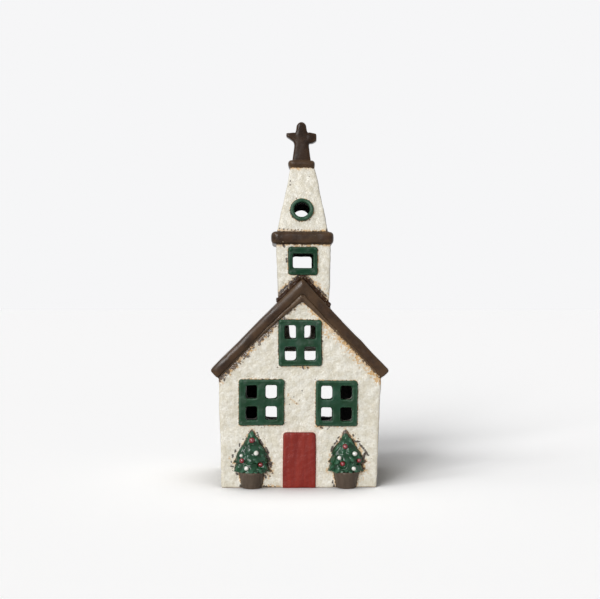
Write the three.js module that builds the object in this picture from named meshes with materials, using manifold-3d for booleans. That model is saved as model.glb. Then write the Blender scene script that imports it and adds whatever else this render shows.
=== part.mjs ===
// A church-shaped tealight holder in glazed stoneware, with a tealight standing in it.
// Millimetres, +Z up. The front looks towards -Y and the origin is the centre of the underside.
// The house is put together as a potter does it: slabs luted edge to edge, with sprigs pressed on.

import * as THREE from "three";
import { mergeVertices } from "three/addons/utils/BufferGeometryUtils.js";
import Module from "manifold-3d";

const wasm = await Module();
wasm.setup();

// Driving dimensions

const seam = 0.3; // slip line left between slanted or rounded pieces
const curve_steps = 2; // each rounded corner has twice as many segments

const house = {
  base_width: 87,
  eave_width: 91.6,
  depth: 72,
  wall: 5,
  floor: 5,
};

const roof = {
  ridge_x: 1.6,
  ridge_z: 117.4,
  eave_x: 50.4,
  eave_z: 65.6,
  thickness: 6,
  overhang: 3,
};

const tower = {
  x: 2.4,
  base_width: 28.8,
  top_width: 30.5,
  depth: 30,
  wall: 4,
  setback: 2,
  rise: 19, // above the ridge
};

// shift moves a piece sideways from the one that it stands on, as the hand that set it did.
const saddle = { width: 1.6, side_width: 0.4, height: 1.8 };
const cornice = { shift: -0.6, overhang: 2.2, height: 7, corner: 3.5, edge: 2 };
const spire = { ledge: 3, top_width: 14, height: 37.2, wall: 3.5 };
const collar = { shift: -0.4, overhang: 0.7, height: 4.4, corner: 2.5, edge: 1.5 };

const cross = {
  height: 22.4,
  foot_width: 11.3,
  waist_width: 8,
  tip_width: 5.2,
  span: 17.8,
  arm_height: 6.2,
  arm_z: 13,
  thickness: 7,
  edge: 1,
};

// Each house window is a green lattice round four panes, with its own width of rim.
const pane = { width: 6.5, height: 7.7, corner: 1.1 };
const frame = { mullion: 4.5, transom: 4.3, relief: 1.6, corner: 1.4, edge: 0.5 };
const left_window = { x: -21.2, below_eaves: 17.9, rim_x: 3.7, rim_z: 2.9 };
const right_window = { x: 20.9, below_eaves: 18.4, rim_x: 2.7, rim_z: 2.65 };
const gable_window = { x: 0.4, below_eaves: -15.4, rim_x: 3.25, rim_z: 2.9 };
const house_windows = { left_window, right_window, gable_window };

const tower_window = { shift: -0.5, below_top: 9.5, width: 11.5, height: 8.2, rim_x: 2.3, rim_z: 3.6 };
const round_window = { shift: -0.6, rise: 12.6, radius: 4.4, rim: 2.1, back_drop: 1.9, steps: 28 };

const rear_opening = { x: 0.8, sill_z: 32, side_room: 4, height: 41, corner: 4 };
const vent = { x: 1.4, below_ridge: 29.4, width: 13.2, height: 13, corner: 1.5 };
const flue = { ledge: 0.4 };

const door = { width: 18.1, height: 30.7, relief: 1.2, corner: 1.8, edge: 0.4 };

const pot = { top_radius: 7.1, foot_radius: 5.3, height: 9, bulge: 0.95, soil: 5.5, steps: 24 };
const tree = { bulge: 0.62, lobes: 12, lobe_steps: 4, notch: 0.17, droop: 1.5 };
const tree_places = { left_x: -26.6, right_x: 26.1 };

// Each tier of foliage: where its hem hangs above the pot, its radius and the height of its cone.
const skirt_tier = { rise: 1.6, radius: 10.7, height: 13 };
const low_tier = { rise: 6.6, radius: 10.1, height: 12.4 };
const middle_tier = { rise: 11, radius: 8.2, height: 10.9 };
const top_tier = { rise: 15.6, radius: 5.4, height: 7.4 };
const tree_tiers = [skirt_tier, low_tier, middle_tier, top_tier];

// Baubles are placed by their height above the pot and in degrees round the tree from its front.
const left_high_red = { colour: "red", turn: 0, rise: 17.2, radius: 1.6 };
const left_outer_red = { colour: "red", turn: -36, rise: 6.4, radius: 1.35 };
const left_inner_red = { colour: "red", turn: 40, rise: 4, radius: 1.3 };
const left_high_white = { colour: "white", turn: 20, rise: 10.5, radius: 1.35 };
const left_low_white = { colour: "white", turn: -17, rise: 2.2, radius: 1.3 };
const left_outer_white = { colour: "white", turn: -53, rise: 9, radius: 1.1 };
const left_baubles = [
  left_high_red,
  left_outer_red,
  left_inner_red,
  left_high_white,
  left_low_white,
  left_outer_white,
];

const right_high_red = { colour: "red", turn: -8, rise: 14, radius: 1.5 };
const right_low_red = { colour: "red", turn: -18, rise: 4.3, radius: 1.5 };
const right_outer_red = { colour: "red", turn: 49, rise: 6.2, radius: 1.2 };
const right_high_white = { colour: "white", turn: 36, rise: 10, radius: 1.35 };
const right_inner_white = { colour: "white", turn: -30, rise: 7.7, radius: 1.2 };
const right_low_white = { colour: "white", turn: 25, rise: 1.9, radius: 1.3 };
const right_baubles = [
  right_high_red,
  right_low_red,
  right_outer_red,
  right_high_white,
  right_inner_white,
  right_low_white,
];

// phase shifts the pattern of lobes round a tree, so that the two trees differ.
const potted_trees = [
  { side: "left", x: tree_places.left_x, phase: 0, baubles: left_baubles },
  { side: "right", x: tree_places.right_x, phase: 0.35, baubles: right_baubles },
];

const tealight = {
  radius: 19,
  height: 15.5,
  foil: 0.5,
  rim: 0.5,
  wax_height: 12.4,
  wax_clearance: 0.15,
  wick_radius: 0.8,
  wick_height: 17.5,
  sustainer_radius: 6.5,
  sustainer_sheet: 0.5,
  neck_radius: 1.7,
  neck_height: 3,
  bore_clearance: 0.15,
  steps: 40,
};

// Places that follow from the driving dimensions

const front_y = -house.depth / 2;
const back_y = house.depth / 2;
const inner_front_y = front_y + house.wall;
const inner_back_y = back_y - house.wall;

const tower_front_y = front_y + tower.setback;
const tower_back_y = tower_front_y + tower.depth;
const tower_mid_y = (tower_front_y + tower_back_y) / 2;

const tower_top_z = roof.ridge_z + tower.rise;
const cornice_top_z = tower_top_z + cornice.height;
const spire_top_z = cornice_top_z + spire.height;
const collar_top_z = spire_top_z + collar.height;

const cornice_x = tower.x + cornice.shift;
const collar_x = cornice_x + collar.shift;
const round_window_x = cornice_x + round_window.shift;

const flue_width = tower.base_width - 2 * (tower.wall + flue.ledge);
const flue_depth = tower.depth - 2 * (tower.wall + flue.ledge);
const cornice_width = tower.top_width + 2 * cornice.overhang;
const cornice_depth = tower.depth + 2 * cornice.overhang;
const spire_width = cornice_width - 2 * spire.ledge;
const spire_depth = cornice_depth - 2 * spire.ledge;
const collar_width = spire.top_width + 2 * collar.overhang;

const tower_window_x = tower.x + tower_window.shift;
const tower_window_z = tower_top_z - tower_window.below_top;
const round_window_z = cornice_top_z + round_window.rise;

// The roof's two faces as heights over x. side is -1 on the left and 1 on the right.
function slopeOf(side) {
  const run = side < 0 ? roof.ridge_x + roof.eave_x : roof.eave_x - roof.ridge_x;
  return (roof.ridge_z - roof.eave_z) / run;
}

// How far a layer of the given thickness, measured square to the slope, reaches straight down.
function plumb(side, thickness) {
  return thickness * Math.hypot(1, slopeOf(side));
}

function roofTopZ(x) {
  const side = x < roof.ridge_x ? -1 : 1;
  return roof.ridge_z - slopeOf(side) * Math.abs(x - roof.ridge_x);
}

// Half the house's width at a height, where its sides lean outwards to the eaves.
const wall_lean = (house.eave_width - house.base_width) / 2 / roof.eave_z;
const houseHalf = (z) => house.base_width / 2 + wall_lean * z;

// The height at which a wall face, set in by some thickness, meets the underside of the roof.
function eaveJointZ(side, inset) {
  const drop = plumb(side, roof.thickness) + seam;
  const reach = house.base_width / 2 - inset + side * -roof.ridge_x;
  return (roof.ridge_z - drop - slopeOf(side) * reach) / (1 + slopeOf(side) * wall_lean);
}

// Materials

const finish = (color, roughness, metalness = 0) =>
  new THREE.MeshStandardMaterial({ color, roughness, metalness });

const cream_glaze = finish("#e4dfd2", 0.45);
const brown_glaze = finish("#41352a", 0.25);
const green_glaze = finish("#1c4a30", 0.2);
const red_glaze = finish("#8c3a32", 0.4);
const leaf_glaze = finish("#1e4d33", 0.25);
const pot_glaze = finish("#544a40", 0.4);
const bauble_red = finish("#a5202a", 0.2);
const bauble_white = finish("#f1eee4", 0.2);
const bare_clay = finish("#b9a58a", 0.85);
const foil = finish("#c9ccd0", 0.3, 1);
const paraffin = finish("#f4f1e8", 0.5);
const cotton = finish("#e9e2cf", 0.9);
const tin = finish("#a9abae", 0.35, 1);

// Solids and meshes

function solid(geometry) {
  const bare = geometry.clone();
  bare.deleteAttribute("normal");
  bare.deleteAttribute("uv");
  const merged = mergeVertices(bare, 1e-4);
  return new wasm.Manifold(
    new wasm.Mesh({
      numProp: 3,
      vertProperties: merged.attributes.position.array,
      triVerts: new Uint32Array(merged.index.array),
    }),
  );
}

function geometryOf(made) {
  const { vertProperties, triVerts, numProp, numVert } = made.getMesh();
  const points = new Float32Array(numVert * 3);
  for (let i = 0; i < numVert; i++) {
    points.set(vertProperties.subarray(i * numProp, i * numProp + 3), i * 3);
  }
  const geometry = new THREE.BufferGeometry();
  geometry.setAttribute("position", new THREE.BufferAttribute(points, 3));
  geometry.setIndex(new THREE.BufferAttribute(new Uint32Array(triVerts), 1));
  geometry.computeVertexNormals();
  return geometry;
}

const church = new THREE.Group();

function add(name, shape, material) {
  const geometry = shape.isBufferGeometry ? shape : geometryOf(shape);
  const mesh = new THREE.Mesh(geometry, material);
  mesh.name = name;
  church.add(mesh);
  return mesh;
}

function box(x0, x1, y0, y1, z0, z1) {
  const geometry = new THREE.BoxGeometry(x1 - x0, y1 - y0, z1 - z0);
  return geometry.translate((x0 + x1) / 2, (y0 + y1) / 2, (z0 + z1) / 2);
}

// An outline in the X-Z plane, drawn as [x, z] points.
const outline = (points) => new THREE.Shape(points.map(([x, z]) => new THREE.Vector2(x, z)));

// A rectangle round a centre, with its corners rounded: the foot's own radius can be zero.
function rounded(path, x, z, width, height, corner, foot_corner = corner) {
  const [x0, x1] = [x - width / 2, x + width / 2];
  const [z0, z1] = [z - height / 2, z + height / 2];
  const top = Math.min(corner, width / 2, height / 2);
  const foot = Math.min(foot_corner, width / 2, height / 2);
  path.moveTo(x0 + foot, z0);
  path.lineTo(x1 - foot, z0);
  if (foot > 0) path.absarc(x1 - foot, z0 + foot, foot, -Math.PI / 2, 0, false);
  path.lineTo(x1, z1 - top);
  path.absarc(x1 - top, z1 - top, top, 0, Math.PI / 2, false);
  path.lineTo(x0 + top, z1);
  path.absarc(x0 + top, z1 - top, top, Math.PI / 2, Math.PI, false);
  path.lineTo(x0, z0 + foot);
  if (foot > 0) path.absarc(x0 + foot, z0 + foot, foot, Math.PI, 1.5 * Math.PI, false);
  return path;
}

// Extrudes an X-Z outline along Y, from y0 to y1.
function slab(shape, y0, y1) {
  const depth = y1 - y0;
  const settings = { depth, bevelEnabled: false, curveSegments: curve_steps };
  return new THREE.ExtrudeGeometry(shape, settings).rotateX(Math.PI / 2).translate(0, y1, 0);
}

// A relief that stands off a face: its front edges are eased and its back is flat on the face.
function sprig(shape, face_y, relief, edge, towards = -1) {
  const settings = {
    depth: relief,
    bevelSize: edge,
    bevelThickness: edge,
    bevelOffset: -edge,
    bevelSegments: 2,
    curveSegments: curve_steps,
  };
  const eased = new THREE.ExtrudeGeometry(shape, settings).rotateX(Math.PI / 2);
  const room = 2 * spire_top_z;
  const shift = towards < 0 ? face_y + edge : face_y + relief - edge;
  const [y0, y1] = towards < 0 ? [face_y - relief, face_y] : [face_y, face_y + relief];
  return solid(eased.translate(0, shift, 0)).intersect(solid(box(-room, room, y0, y1, -room, room)));
}

// House: floor and four walls

const windowZ = (window) => roof.eave_z - window.below_eaves;

// Centres of a window's four panes.
function paneCentres(window) {
  const dx = (frame.mullion + pane.width) / 2;
  const dz = (frame.transom + pane.height) / 2;
  const offsets = [[-dx, -dz], [dx, -dz], [-dx, dz], [dx, dz]];
  return offsets.map(([x, z]) => [window.x + x, windowZ(window) + z]);
}

function paneHoles(window) {
  return paneCentres(window).map(([x, z]) =>
    rounded(new THREE.Path(), x, z, pane.width, pane.height, pane.corner),
  );
}

function gableOutline() {
  const [left_z, right_z] = [eaveJointZ(-1, 0), eaveJointZ(1, 0)];
  const ridge_drop = Math.max(plumb(-1, roof.thickness), plumb(1, roof.thickness)) + seam;
  return outline([
    [-houseHalf(0), 0],
    [houseHalf(0), 0],
    [houseHalf(right_z), right_z],
    [roof.ridge_x, roof.ridge_z - ridge_drop],
    [-houseHalf(left_z), left_z],
  ]);
}

function addWalls() {
  const front = gableOutline();
  for (const window of Object.values(house_windows)) front.holes.push(...paneHoles(window));
  add("front_wall", slab(front, front_y, inner_front_y), cream_glaze);

  const back = gableOutline();
  const { x, sill_z, side_room, height, corner } = rear_opening;
  const width = 2 * (tealight.radius + tealight.rim + side_room);
  back.holes.push(rounded(new THREE.Path(), x, sill_z + height / 2, width, height, corner));
  const vent_z = roof.ridge_z - vent.below_ridge;
  back.holes.push(rounded(new THREE.Path(), vent.x, vent_z, vent.width, vent.height, vent.corner));
  add("back_wall", slab(back, inner_back_y, back_y), cream_glaze);

  for (const side of [-1, 1]) {
    const outer_z = eaveJointZ(side, 0);
    const inner_z = eaveJointZ(side, house.wall);
    const wall = outline([
      [side * houseHalf(0), 0],
      [side * houseHalf(outer_z), outer_z],
      [side * (houseHalf(inner_z) - house.wall), inner_z],
      [side * (houseHalf(0) - house.wall), 0],
    ]);
    const name = side < 0 ? "left_wall" : "right_wall";
    add(name, slab(wall, inner_front_y, inner_back_y), cream_glaze);
  }

  const reach = (z) => houseHalf(z) - house.wall - seam;
  const floor = outline([
    [-reach(0), 0],
    [reach(0), 0],
    [reach(house.floor), house.floor],
    [-reach(house.floor), house.floor],
  ]);
  add("floor", slab(floor, inner_front_y, inner_back_y), bare_clay);
}

// Roof: two slabs that meet in a plumb joint under the ridge, cut out under the tower

function addRoof() {
  const front = front_y - roof.overhang;
  const back = back_y + roof.overhang;
  const hole = box(
    tower.x - flue_width / 2,
    tower.x + flue_width / 2,
    tower_mid_y - flue_depth / 2,
    tower_mid_y + flue_depth / 2,
    roof.eave_z,
    tower_top_z,
  );
  for (const side of [-1, 1]) {
    const slope = Math.atan(slopeOf(side));
    const [eave_x, eave_z] = [side * roof.eave_x, roof.eave_z];
    const cut_x = eave_x - side * roof.thickness * Math.sin(slope);
    const cut_z = eave_z - roof.thickness * Math.cos(slope);
    const section = outline([
      [roof.ridge_x, roof.ridge_z],
      [eave_x, eave_z],
      [cut_x, cut_z],
      [roof.ridge_x, roof.ridge_z - plumb(side, roof.thickness)],
    ]);
    const name = side < 0 ? "left_roof" : "right_roof";
    add(name, solid(slab(section, front, back)).subtract(solid(hole)), brown_glaze);
  }
}

// Tower: four slabs on the roof, with a coil of clay round their foot

// Half the tower's width at a height: it widens a little on the way up.
function towerHalf(z) {
  const foot_z = roofTopZ(tower.x - tower.base_width / 2);
  const share = (z - foot_z) / (tower_top_z - foot_z);
  return (tower.base_width + (tower.top_width - tower.base_width) * share) / 2;
}

// The space from a layer above the roof's faces down to below the eaves, as an X-Z outline.
function roofBelow(layer) {
  const lift = (side) => plumb(side, layer);
  const reach = roof.eave_x;
  const deep = roof.eave_z / 2;
  const edgeZ = (side) => roofTopZ(side * reach) + lift(side);
  return outline([
    [-reach, deep],
    [reach, deep],
    [reach, edgeZ(1)],
    [roof.ridge_x, roof.ridge_z + Math.max(lift(-1), lift(1))],
    [-reach, edgeZ(-1)],
  ]);
}

function towerWindowHole() {
  const { width, height } = tower_window;
  return rounded(new THREE.Path(), tower_window_x, tower_window_z, width, height, pane.corner);
}

function addTower() {
  const [y0, y1] = [tower_front_y, tower_back_y];
  const foot_z = roofTopZ(tower.x + tower.top_width / 2) - tower.wall;
  const bed = solid(slab(roofBelow(seam), y0 - tower.wall, y1 + tower.wall));
  const edge = (side, inset, z) => tower.x + side * (towerHalf(z) - inset);

  const pierced = outline([
    [edge(-1, 0, foot_z), foot_z],
    [edge(1, 0, foot_z), foot_z],
    [edge(1, 0, tower_top_z), tower_top_z],
    [edge(-1, 0, tower_top_z), tower_top_z],
  ]);
  pierced.holes.push(towerWindowHole());
  const front_slab = slab(pierced, y0, y0 + tower.wall);
  const back_slab = slab(pierced, y1 - tower.wall, y1);
  add("tower_front_wall", solid(front_slab).subtract(bed), cream_glaze);
  add("tower_back_wall", solid(back_slab).subtract(bed), cream_glaze);

  for (const side of [-1, 1]) {
    const cheek = outline([
      [edge(side, 0, foot_z), foot_z],
      [edge(side, tower.wall, foot_z), foot_z],
      [edge(side, tower.wall, tower_top_z), tower_top_z],
      [edge(side, 0, tower_top_z), tower_top_z],
    ]);
    const cheek_slab = slab(cheek, y0 + tower.wall, y1 - tower.wall);
    const name = side < 0 ? "tower_left_wall" : "tower_right_wall";
    add(name, solid(cheek_slab).subtract(bed), cream_glaze);
  }
}

function addSaddle() {
  const out = saddle.width + seam;
  const side_out = saddle.side_width + seam;
  const coil = solid(slab(roofBelow(saddle.height), tower_front_y - out, tower_back_y + out));
  const bed = solid(slab(roofBelow(seam), tower_front_y - 2 * out, tower_back_y + 2 * out));
  const window_foot_z = tower_window_z - tower_window.height / 2 - tower_window.rim_z;
  const footprint = (side_margin, margin) => {
    const half = tower.base_width / 2 + side_margin;
    return solid(
      box(
        tower.x - half,
        tower.x + half,
        tower_front_y - margin,
        tower_back_y + margin,
        roof.eave_z / 2,
        window_foot_z - seam,
      ),
    );
  };
  const round = coil.intersect(footprint(side_out, out)).subtract(footprint(seam, seam));
  const ring = round.subtract(bed);
  add("tower_saddle_coil", ring, brown_glaze);
}

function addTowerWindows() {
  const { width, height, rim_x, rim_z } = tower_window;
  const [outer_width, outer_height] = [width + 2 * rim_x, height + 2 * rim_z];
  const [x, z] = [tower_window_x, tower_window_z];
  const shape = rounded(new THREE.Shape(), x, z, outer_width, outer_height, frame.corner);
  shape.holes.push(towerWindowHole());
  const front_frame = sprig(shape, tower_front_y, frame.relief, frame.edge);
  const back_frame = sprig(shape, tower_back_y, frame.relief, frame.edge, 1);
  add("tower_front_window_frame", front_frame, green_glaze);
  add("tower_back_window_frame", back_frame, green_glaze);
}

// Cornice, spire and collar

// A plate round the vertical axis at x, its edges eased, with an optional hole for the flue.
function plate(x, width, depth, z, { height, corner, edge }, with_hole = false) {
  const shape = rounded(new THREE.Shape(), x, tower_mid_y, width, depth, corner);
  if (with_hole) {
    shape.holes.push(rounded(new THREE.Path(), x, tower_mid_y, flue_width, flue_depth, corner));
  }
  const settings = {
    depth: height - 2 * edge,
    bevelSize: edge,
    bevelThickness: edge,
    bevelOffset: -edge,
    bevelSegments: 3,
    curveSegments: curve_steps,
  };
  return new THREE.ExtrudeGeometry(shape, settings).translate(0, 0, z + edge);
}

// One of the spire's four mitred walls. turn counts quarter turns from the front.
function spireWall(turn) {
  const sideways = turn % 2;
  const [width, depth] = sideways ? [spire_depth, spire_width] : [spire_width, spire_depth];
  const ring = (half_width, half_depth, z) => [
    [-half_width, -half_depth, z],
    [half_width, -half_depth, z],
    [half_width - spire.wall, -half_depth + spire.wall, z],
    [-half_width + spire.wall, -half_depth + spire.wall, z],
  ];
  const top = spire.top_width / 2;
  const corners = [...ring(width / 2, depth / 2, cornice_top_z), ...ring(top, top, spire_top_z)];
  const faces = [
    [3, 2, 1, 0],
    [4, 5, 6, 7],
    [0, 1, 5, 4],
    [1, 2, 6, 5],
    [2, 3, 7, 6],
    [3, 0, 4, 7],
  ];
  const geometry = new THREE.BufferGeometry();
  geometry.setAttribute("position", new THREE.Float32BufferAttribute(corners.flat(), 3));
  geometry.setIndex(faces.flatMap(([a, b, c, d]) => [a, b, c, a, c, d]));
  return geometry.rotateZ((turn * Math.PI) / 2).translate(cornice_x, tower_mid_y, 0);
}

// How the spire's front and back faces lean, and how far they stand from its axis at a height.
const spire_lean = Math.atan((spire_depth - spire.top_width) / 2 / spire.height);
const spireHalf = (z) => spire_depth / 2 - (z - cornice_top_z) * Math.tan(spire_lean);

// Turns a piece made round the Y axis square to the spire's front or back face at a height.
function ontoSpire(geometry, towards, z) {
  return geometry
    .rotateX(towards * spire_lean)
    .translate(round_window_x, tower_mid_y + towards * spireHalf(z), z);
}

function roundWindowRing(towards) {
  const { radius, rim, steps } = round_window;
  const { relief, edge } = frame;
  const section = [
    [radius, 0],
    [radius + rim, 0],
    [radius + rim, relief - edge],
    [radius + rim - edge, relief],
    [radius + edge, relief],
    [radius, relief - edge],
    [radius, 0],
  ];
  const profile = section.map(([r, h]) => new THREE.Vector2(r, seam + h));
  const ring = new THREE.LatheGeometry(profile, steps);
  return towards < 0 ? ring.rotateX(Math.PI) : ring;
}

function addSpire() {
  const cornice_plate = plate(cornice_x, cornice_width, cornice_depth, tower_top_z, cornice, true);
  add("cornice", cornice_plate, brown_glaze);

  add("spire_right_wall", spireWall(1), cream_glaze);
  add("spire_left_wall", spireWall(3), cream_glaze);
  const pierced = [
    { name: "front", turn: 0, towards: -1, z: round_window_z },
    { name: "back", turn: 2, towards: 1, z: round_window_z - round_window.back_drop },
  ];
  for (const { name, turn, towards, z } of pierced) {
    const { radius, steps } = round_window;
    const drill = new THREE.CylinderGeometry(radius, radius, 4 * spire.wall, steps);
    const wall = solid(spireWall(turn)).subtract(solid(ontoSpire(drill, towards, z)));
    add(`spire_${name}_wall`, wall, cream_glaze);
    add(`round_${name}_window_ring`, ontoSpire(roundWindowRing(towards), towards, z), green_glaze);
  }

  const collar_plate = plate(collar_x, collar_width, collar_width, spire_top_z, collar);
  add("spire_collar", collar_plate, brown_glaze);
}

function addCross() {
  const { height, foot_width, waist_width, tip_width, span, arm_height, arm_z, thickness } = cross;
  const edge = Math.min(cross.edge, tip_width / 5);
  const [low, high] = [arm_z - arm_height / 2, arm_z + arm_height / 2];
  const sunk = edge / 2;
  const half_outline = [
    [foot_width, -sunk],
    [waist_width, low],
    [span, low + edge],
    [span, high - edge],
    [waist_width - edge, high],
    [tip_width, height - edge],
    [tip_width - edge, height],
  ];
  const side = (sign) => half_outline.map(([w, z]) => [collar_x + (sign * w) / 2, collar_top_z + z]);
  const shape = outline([...side(1), ...side(-1).reverse()]);
  const settings = {
    depth: thickness - 2 * edge,
    bevelSize: edge,
    bevelThickness: edge,
    bevelOffset: -edge,
    bevelSegments: 3,
  };
  const back = tower_mid_y + thickness / 2 - edge;
  const eased = new THREE.ExtrudeGeometry(shape, settings).rotateX(Math.PI / 2);
  const [x0, x1] = [collar_x - span, collar_x + span];
  const above = box(x0, x1, tower_front_y, tower_back_y, collar_top_z, collar_top_z + 2 * height);
  add("cross", solid(eased.translate(0, back, 0)).intersect(solid(above)), brown_glaze);
}

// Sprigs on the front wall: window frames, door, potted trees

function addFrontSprigs() {
  for (const [name, window] of Object.entries(house_windows)) {
    const width = 2 * (pane.width + window.rim_x) + frame.mullion;
    const height = 2 * (pane.height + window.rim_z) + frame.transom;
    const corner = frame.corner;
    const lattice = rounded(new THREE.Shape(), window.x, windowZ(window), width, height, corner);
    lattice.holes.push(...paneHoles(window));
    add(`${name}_frame`, sprig(lattice, front_y, frame.relief, frame.edge), green_glaze);
  }
  const { width, height, corner, relief, edge } = door;
  const leaf = rounded(new THREE.Shape(), 0, height / 2, width, height, corner, 0);
  add("door", sprig(leaf, front_y, relief, edge), red_glaze);
}

// A tier of foliage round the Z axis: a cone whose hem is cut into drooping lobes.
function foliageTier({ rise, radius, height }, phase) {
  const steps = tree.lobes * tree.lobe_steps;
  const cone = new THREE.ConeGeometry(radius, height, steps, 1).rotateX(Math.PI / 2);
  const points = cone.attributes.position;
  for (let i = 0; i < points.count; i++) {
    const [px, py] = [points.getX(i), points.getY(i)];
    const away = Math.hypot(px, py) / radius;
    const lobe = Math.abs(Math.sin((Math.atan2(py, px) * tree.lobes) / 2 + phase));
    const shrink = 1 - tree.notch * (1 - lobe);
    points.setXYZ(i, px * shrink, py * shrink, points.getZ(i) - away * lobe * tree.droop);
  }
  return cone.scale(1, tree.bulge, 1).translate(0, 0, pot.height + rise + height / 2);
}

function addPottedTree({ side, x, phase, baubles }) {
  const reach = house.depth;
  const wall = solid(box(-reach, reach, 0, reach, -reach, reach));
  const tiers = tree_tiers.map((tier, i) => {
    const half_lobe = i % 2 ? Math.PI / 2 : 0;
    return solid(foliageTier(tier, phase + half_lobe));
  });
  const upright = (top_radius, foot_radius, foot, height, bulge) =>
    solid(
      new THREE.CylinderGeometry(top_radius, foot_radius, height, pot.steps)
        .rotateX(Math.PI / 2)
        .scale(1, bulge, 1)
        .translate(0, 0, foot + height / 2),
    );
  const stem_height = 2 * tree_tiers[0].rise;
  const stem = upright(pot.soil, pot.soil, pot.height, stem_height, tree.bulge);
  const foliage = tiers.reduce((all, tier) => all.add(tier), stem).subtract(wall);
  const placed = foliage.translate([x, front_y, 0]);
  const tree_mesh = add(`${side}_tree`, placed, leaf_glaze);

  const vessel = upright(pot.top_radius, pot.foot_radius, 0, pot.height, pot.bulge);
  add(`${side}_pot`, vessel.subtract(wall).translate([x, front_y, 0]), pot_glaze);

  // Each bauble is a ball pressed onto the foliage, found by looking at the tree from outside.
  tree_mesh.updateMatrixWorld(true);
  const nudges = [[0, -seam, 0], [seam, 0, 0], [-seam, 0, 0], [0, 0, seam], [0, 0, -seam]];
  const beside = wall.translate([x, front_y - seam, 0]);
  const cleared = nudges.reduce((all, nudge) => all.add(placed.translate(nudge)), beside);
  const count = { red: 0, white: 0 };
  for (const { colour, turn, rise, radius } of baubles) {
    const angle = THREE.MathUtils.degToRad(turn);
    const away = new THREE.Vector3(Math.sin(angle), -Math.cos(angle) * tree.bulge, 0);
    const axis = new THREE.Vector3(x, front_y, pot.height + rise);
    const eye = axis.clone().addScaledVector(away, reach);
    const gaze = new THREE.Raycaster(eye, away.clone().negate().normalize());
    const { point } = gaze.intersectObject(tree_mesh)[0];
    const ball = new THREE.SphereGeometry(radius, 12, 8).translate(point.x, point.y - seam, point.z);
    const pieces = solid(ball).subtract(cleared).decompose();
    pieces.sort((a, b) => b.volume() - a.volume());
    const material = colour === "red" ? bauble_red : bauble_white;
    add(`${side}_${colour}_bauble_${++count[colour]}`, pieces[0], material);
  }
}

// Tealight: foil cup, wax, wick and the tin sustainer that holds the wick upright

function turned(points) {
  const profile = points.map(([r, z]) => new THREE.Vector2(r, z));
  return new THREE.LatheGeometry(profile, tealight.steps)
    .rotateX(Math.PI / 2)
    .translate(0, 0, house.floor);
}

function addTealight() {
  const { radius, height, foil: sheet, rim, wax_height, wax_clearance } = tealight;
  const cup = [
    [0, 0],
    [radius, 0],
    [radius, height - sheet],
    [radius + rim, height - sheet],
    [radius + rim, height],
    [radius - sheet, height],
    [radius - sheet, sheet],
    [0, sheet],
  ];
  add("tealight_cup", turned(cup), foil);

  const { sustainer_radius, sustainer_sheet, neck_radius, neck_height } = tealight;
  const { wick_radius, wick_height, bore_clearance } = tealight;
  const bore = wick_radius + bore_clearance;
  const tin_top = sheet + sustainer_sheet;
  const neck_top = tin_top + neck_height;
  const sustainer = [
    [bore, sheet],
    [sustainer_radius, sheet],
    [sustainer_radius, tin_top],
    [neck_radius, tin_top],
    [neck_radius, neck_top],
    [bore, neck_top],
    [bore, sheet],
  ];
  add("wick_sustainer", turned(sustainer), tin);

  const wax_radius = radius - sheet - wax_clearance;
  const wax_top = sheet + wax_height;
  const wax = [
    [sustainer_radius + wax_clearance, sheet],
    [wax_radius, sheet],
    [wax_radius, wax_top],
    [bore, wax_top],
    [bore, neck_top + wax_clearance],
    [neck_radius + wax_clearance, neck_top + wax_clearance],
    [neck_radius + wax_clearance, tin_top + wax_clearance],
    [sustainer_radius + wax_clearance, tin_top + wax_clearance],
    [sustainer_radius + wax_clearance, sheet],
  ];
  add("tealight_wax", turned(wax), paraffin);

  const wick = [
    [0, sheet],
    [wick_radius, sheet],
    [wick_radius, wick_height],
    [0, wick_height],
  ];
  add("wick", turned(wick), cotton);
}

addWalls();
addRoof();
addTower();
addSaddle();
addTowerWindows();
addSpire();
addCross();
addFrontSprigs();
potted_trees.forEach(addPottedTree);
addTealight();

export default church;
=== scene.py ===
"""The looks of a church-shaped tealight holder in hand-built glazed stoneware.

Each clay piece is the frame's solid, thickened until its slip joints close, given one skin and rubbed
soft, as a potter does with a sponge. The glazes stain by their distance to the pieces beside them.
"""

import math
import random

import bmesh
import bpy
import numpy as np
from mathutils import Matrix, Vector, noise
from mathutils.bvhtree import BVHTree


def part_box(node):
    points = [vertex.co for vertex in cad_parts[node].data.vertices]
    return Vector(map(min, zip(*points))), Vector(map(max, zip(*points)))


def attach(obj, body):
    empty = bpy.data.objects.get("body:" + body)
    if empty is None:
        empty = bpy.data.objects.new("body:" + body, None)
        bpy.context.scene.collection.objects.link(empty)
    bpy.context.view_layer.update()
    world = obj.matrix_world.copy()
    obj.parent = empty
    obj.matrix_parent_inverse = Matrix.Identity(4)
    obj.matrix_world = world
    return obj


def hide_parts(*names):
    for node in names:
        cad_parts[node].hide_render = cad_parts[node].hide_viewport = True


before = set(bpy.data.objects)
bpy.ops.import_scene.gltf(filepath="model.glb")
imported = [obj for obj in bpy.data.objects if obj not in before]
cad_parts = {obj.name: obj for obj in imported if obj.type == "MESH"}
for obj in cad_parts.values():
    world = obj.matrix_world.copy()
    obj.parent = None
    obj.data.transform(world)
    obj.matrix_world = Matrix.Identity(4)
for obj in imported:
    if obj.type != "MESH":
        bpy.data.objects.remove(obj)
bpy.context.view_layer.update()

MM = 0.001

# What a pixel of the photograph measures at the front wall, the row in which that wall stands on the
# table, the column and row level with the camera, and how far from the wall the camera stood
PHOTO_WIDTH, PHOTO_HEIGHT = 600, 599
PIXEL = 0.56 * MM
BASE_ROW = 487.5
EYE_COLUMN, EYE_ROW = 285, 305
LENS, SENSOR = 60.0, 36.0
AWAY = PHOTO_WIDTH * PIXEL * LENS / SENSOR

# Points of a solid that are closer than this are one
DOUBLED = 0.002 * MM

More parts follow.
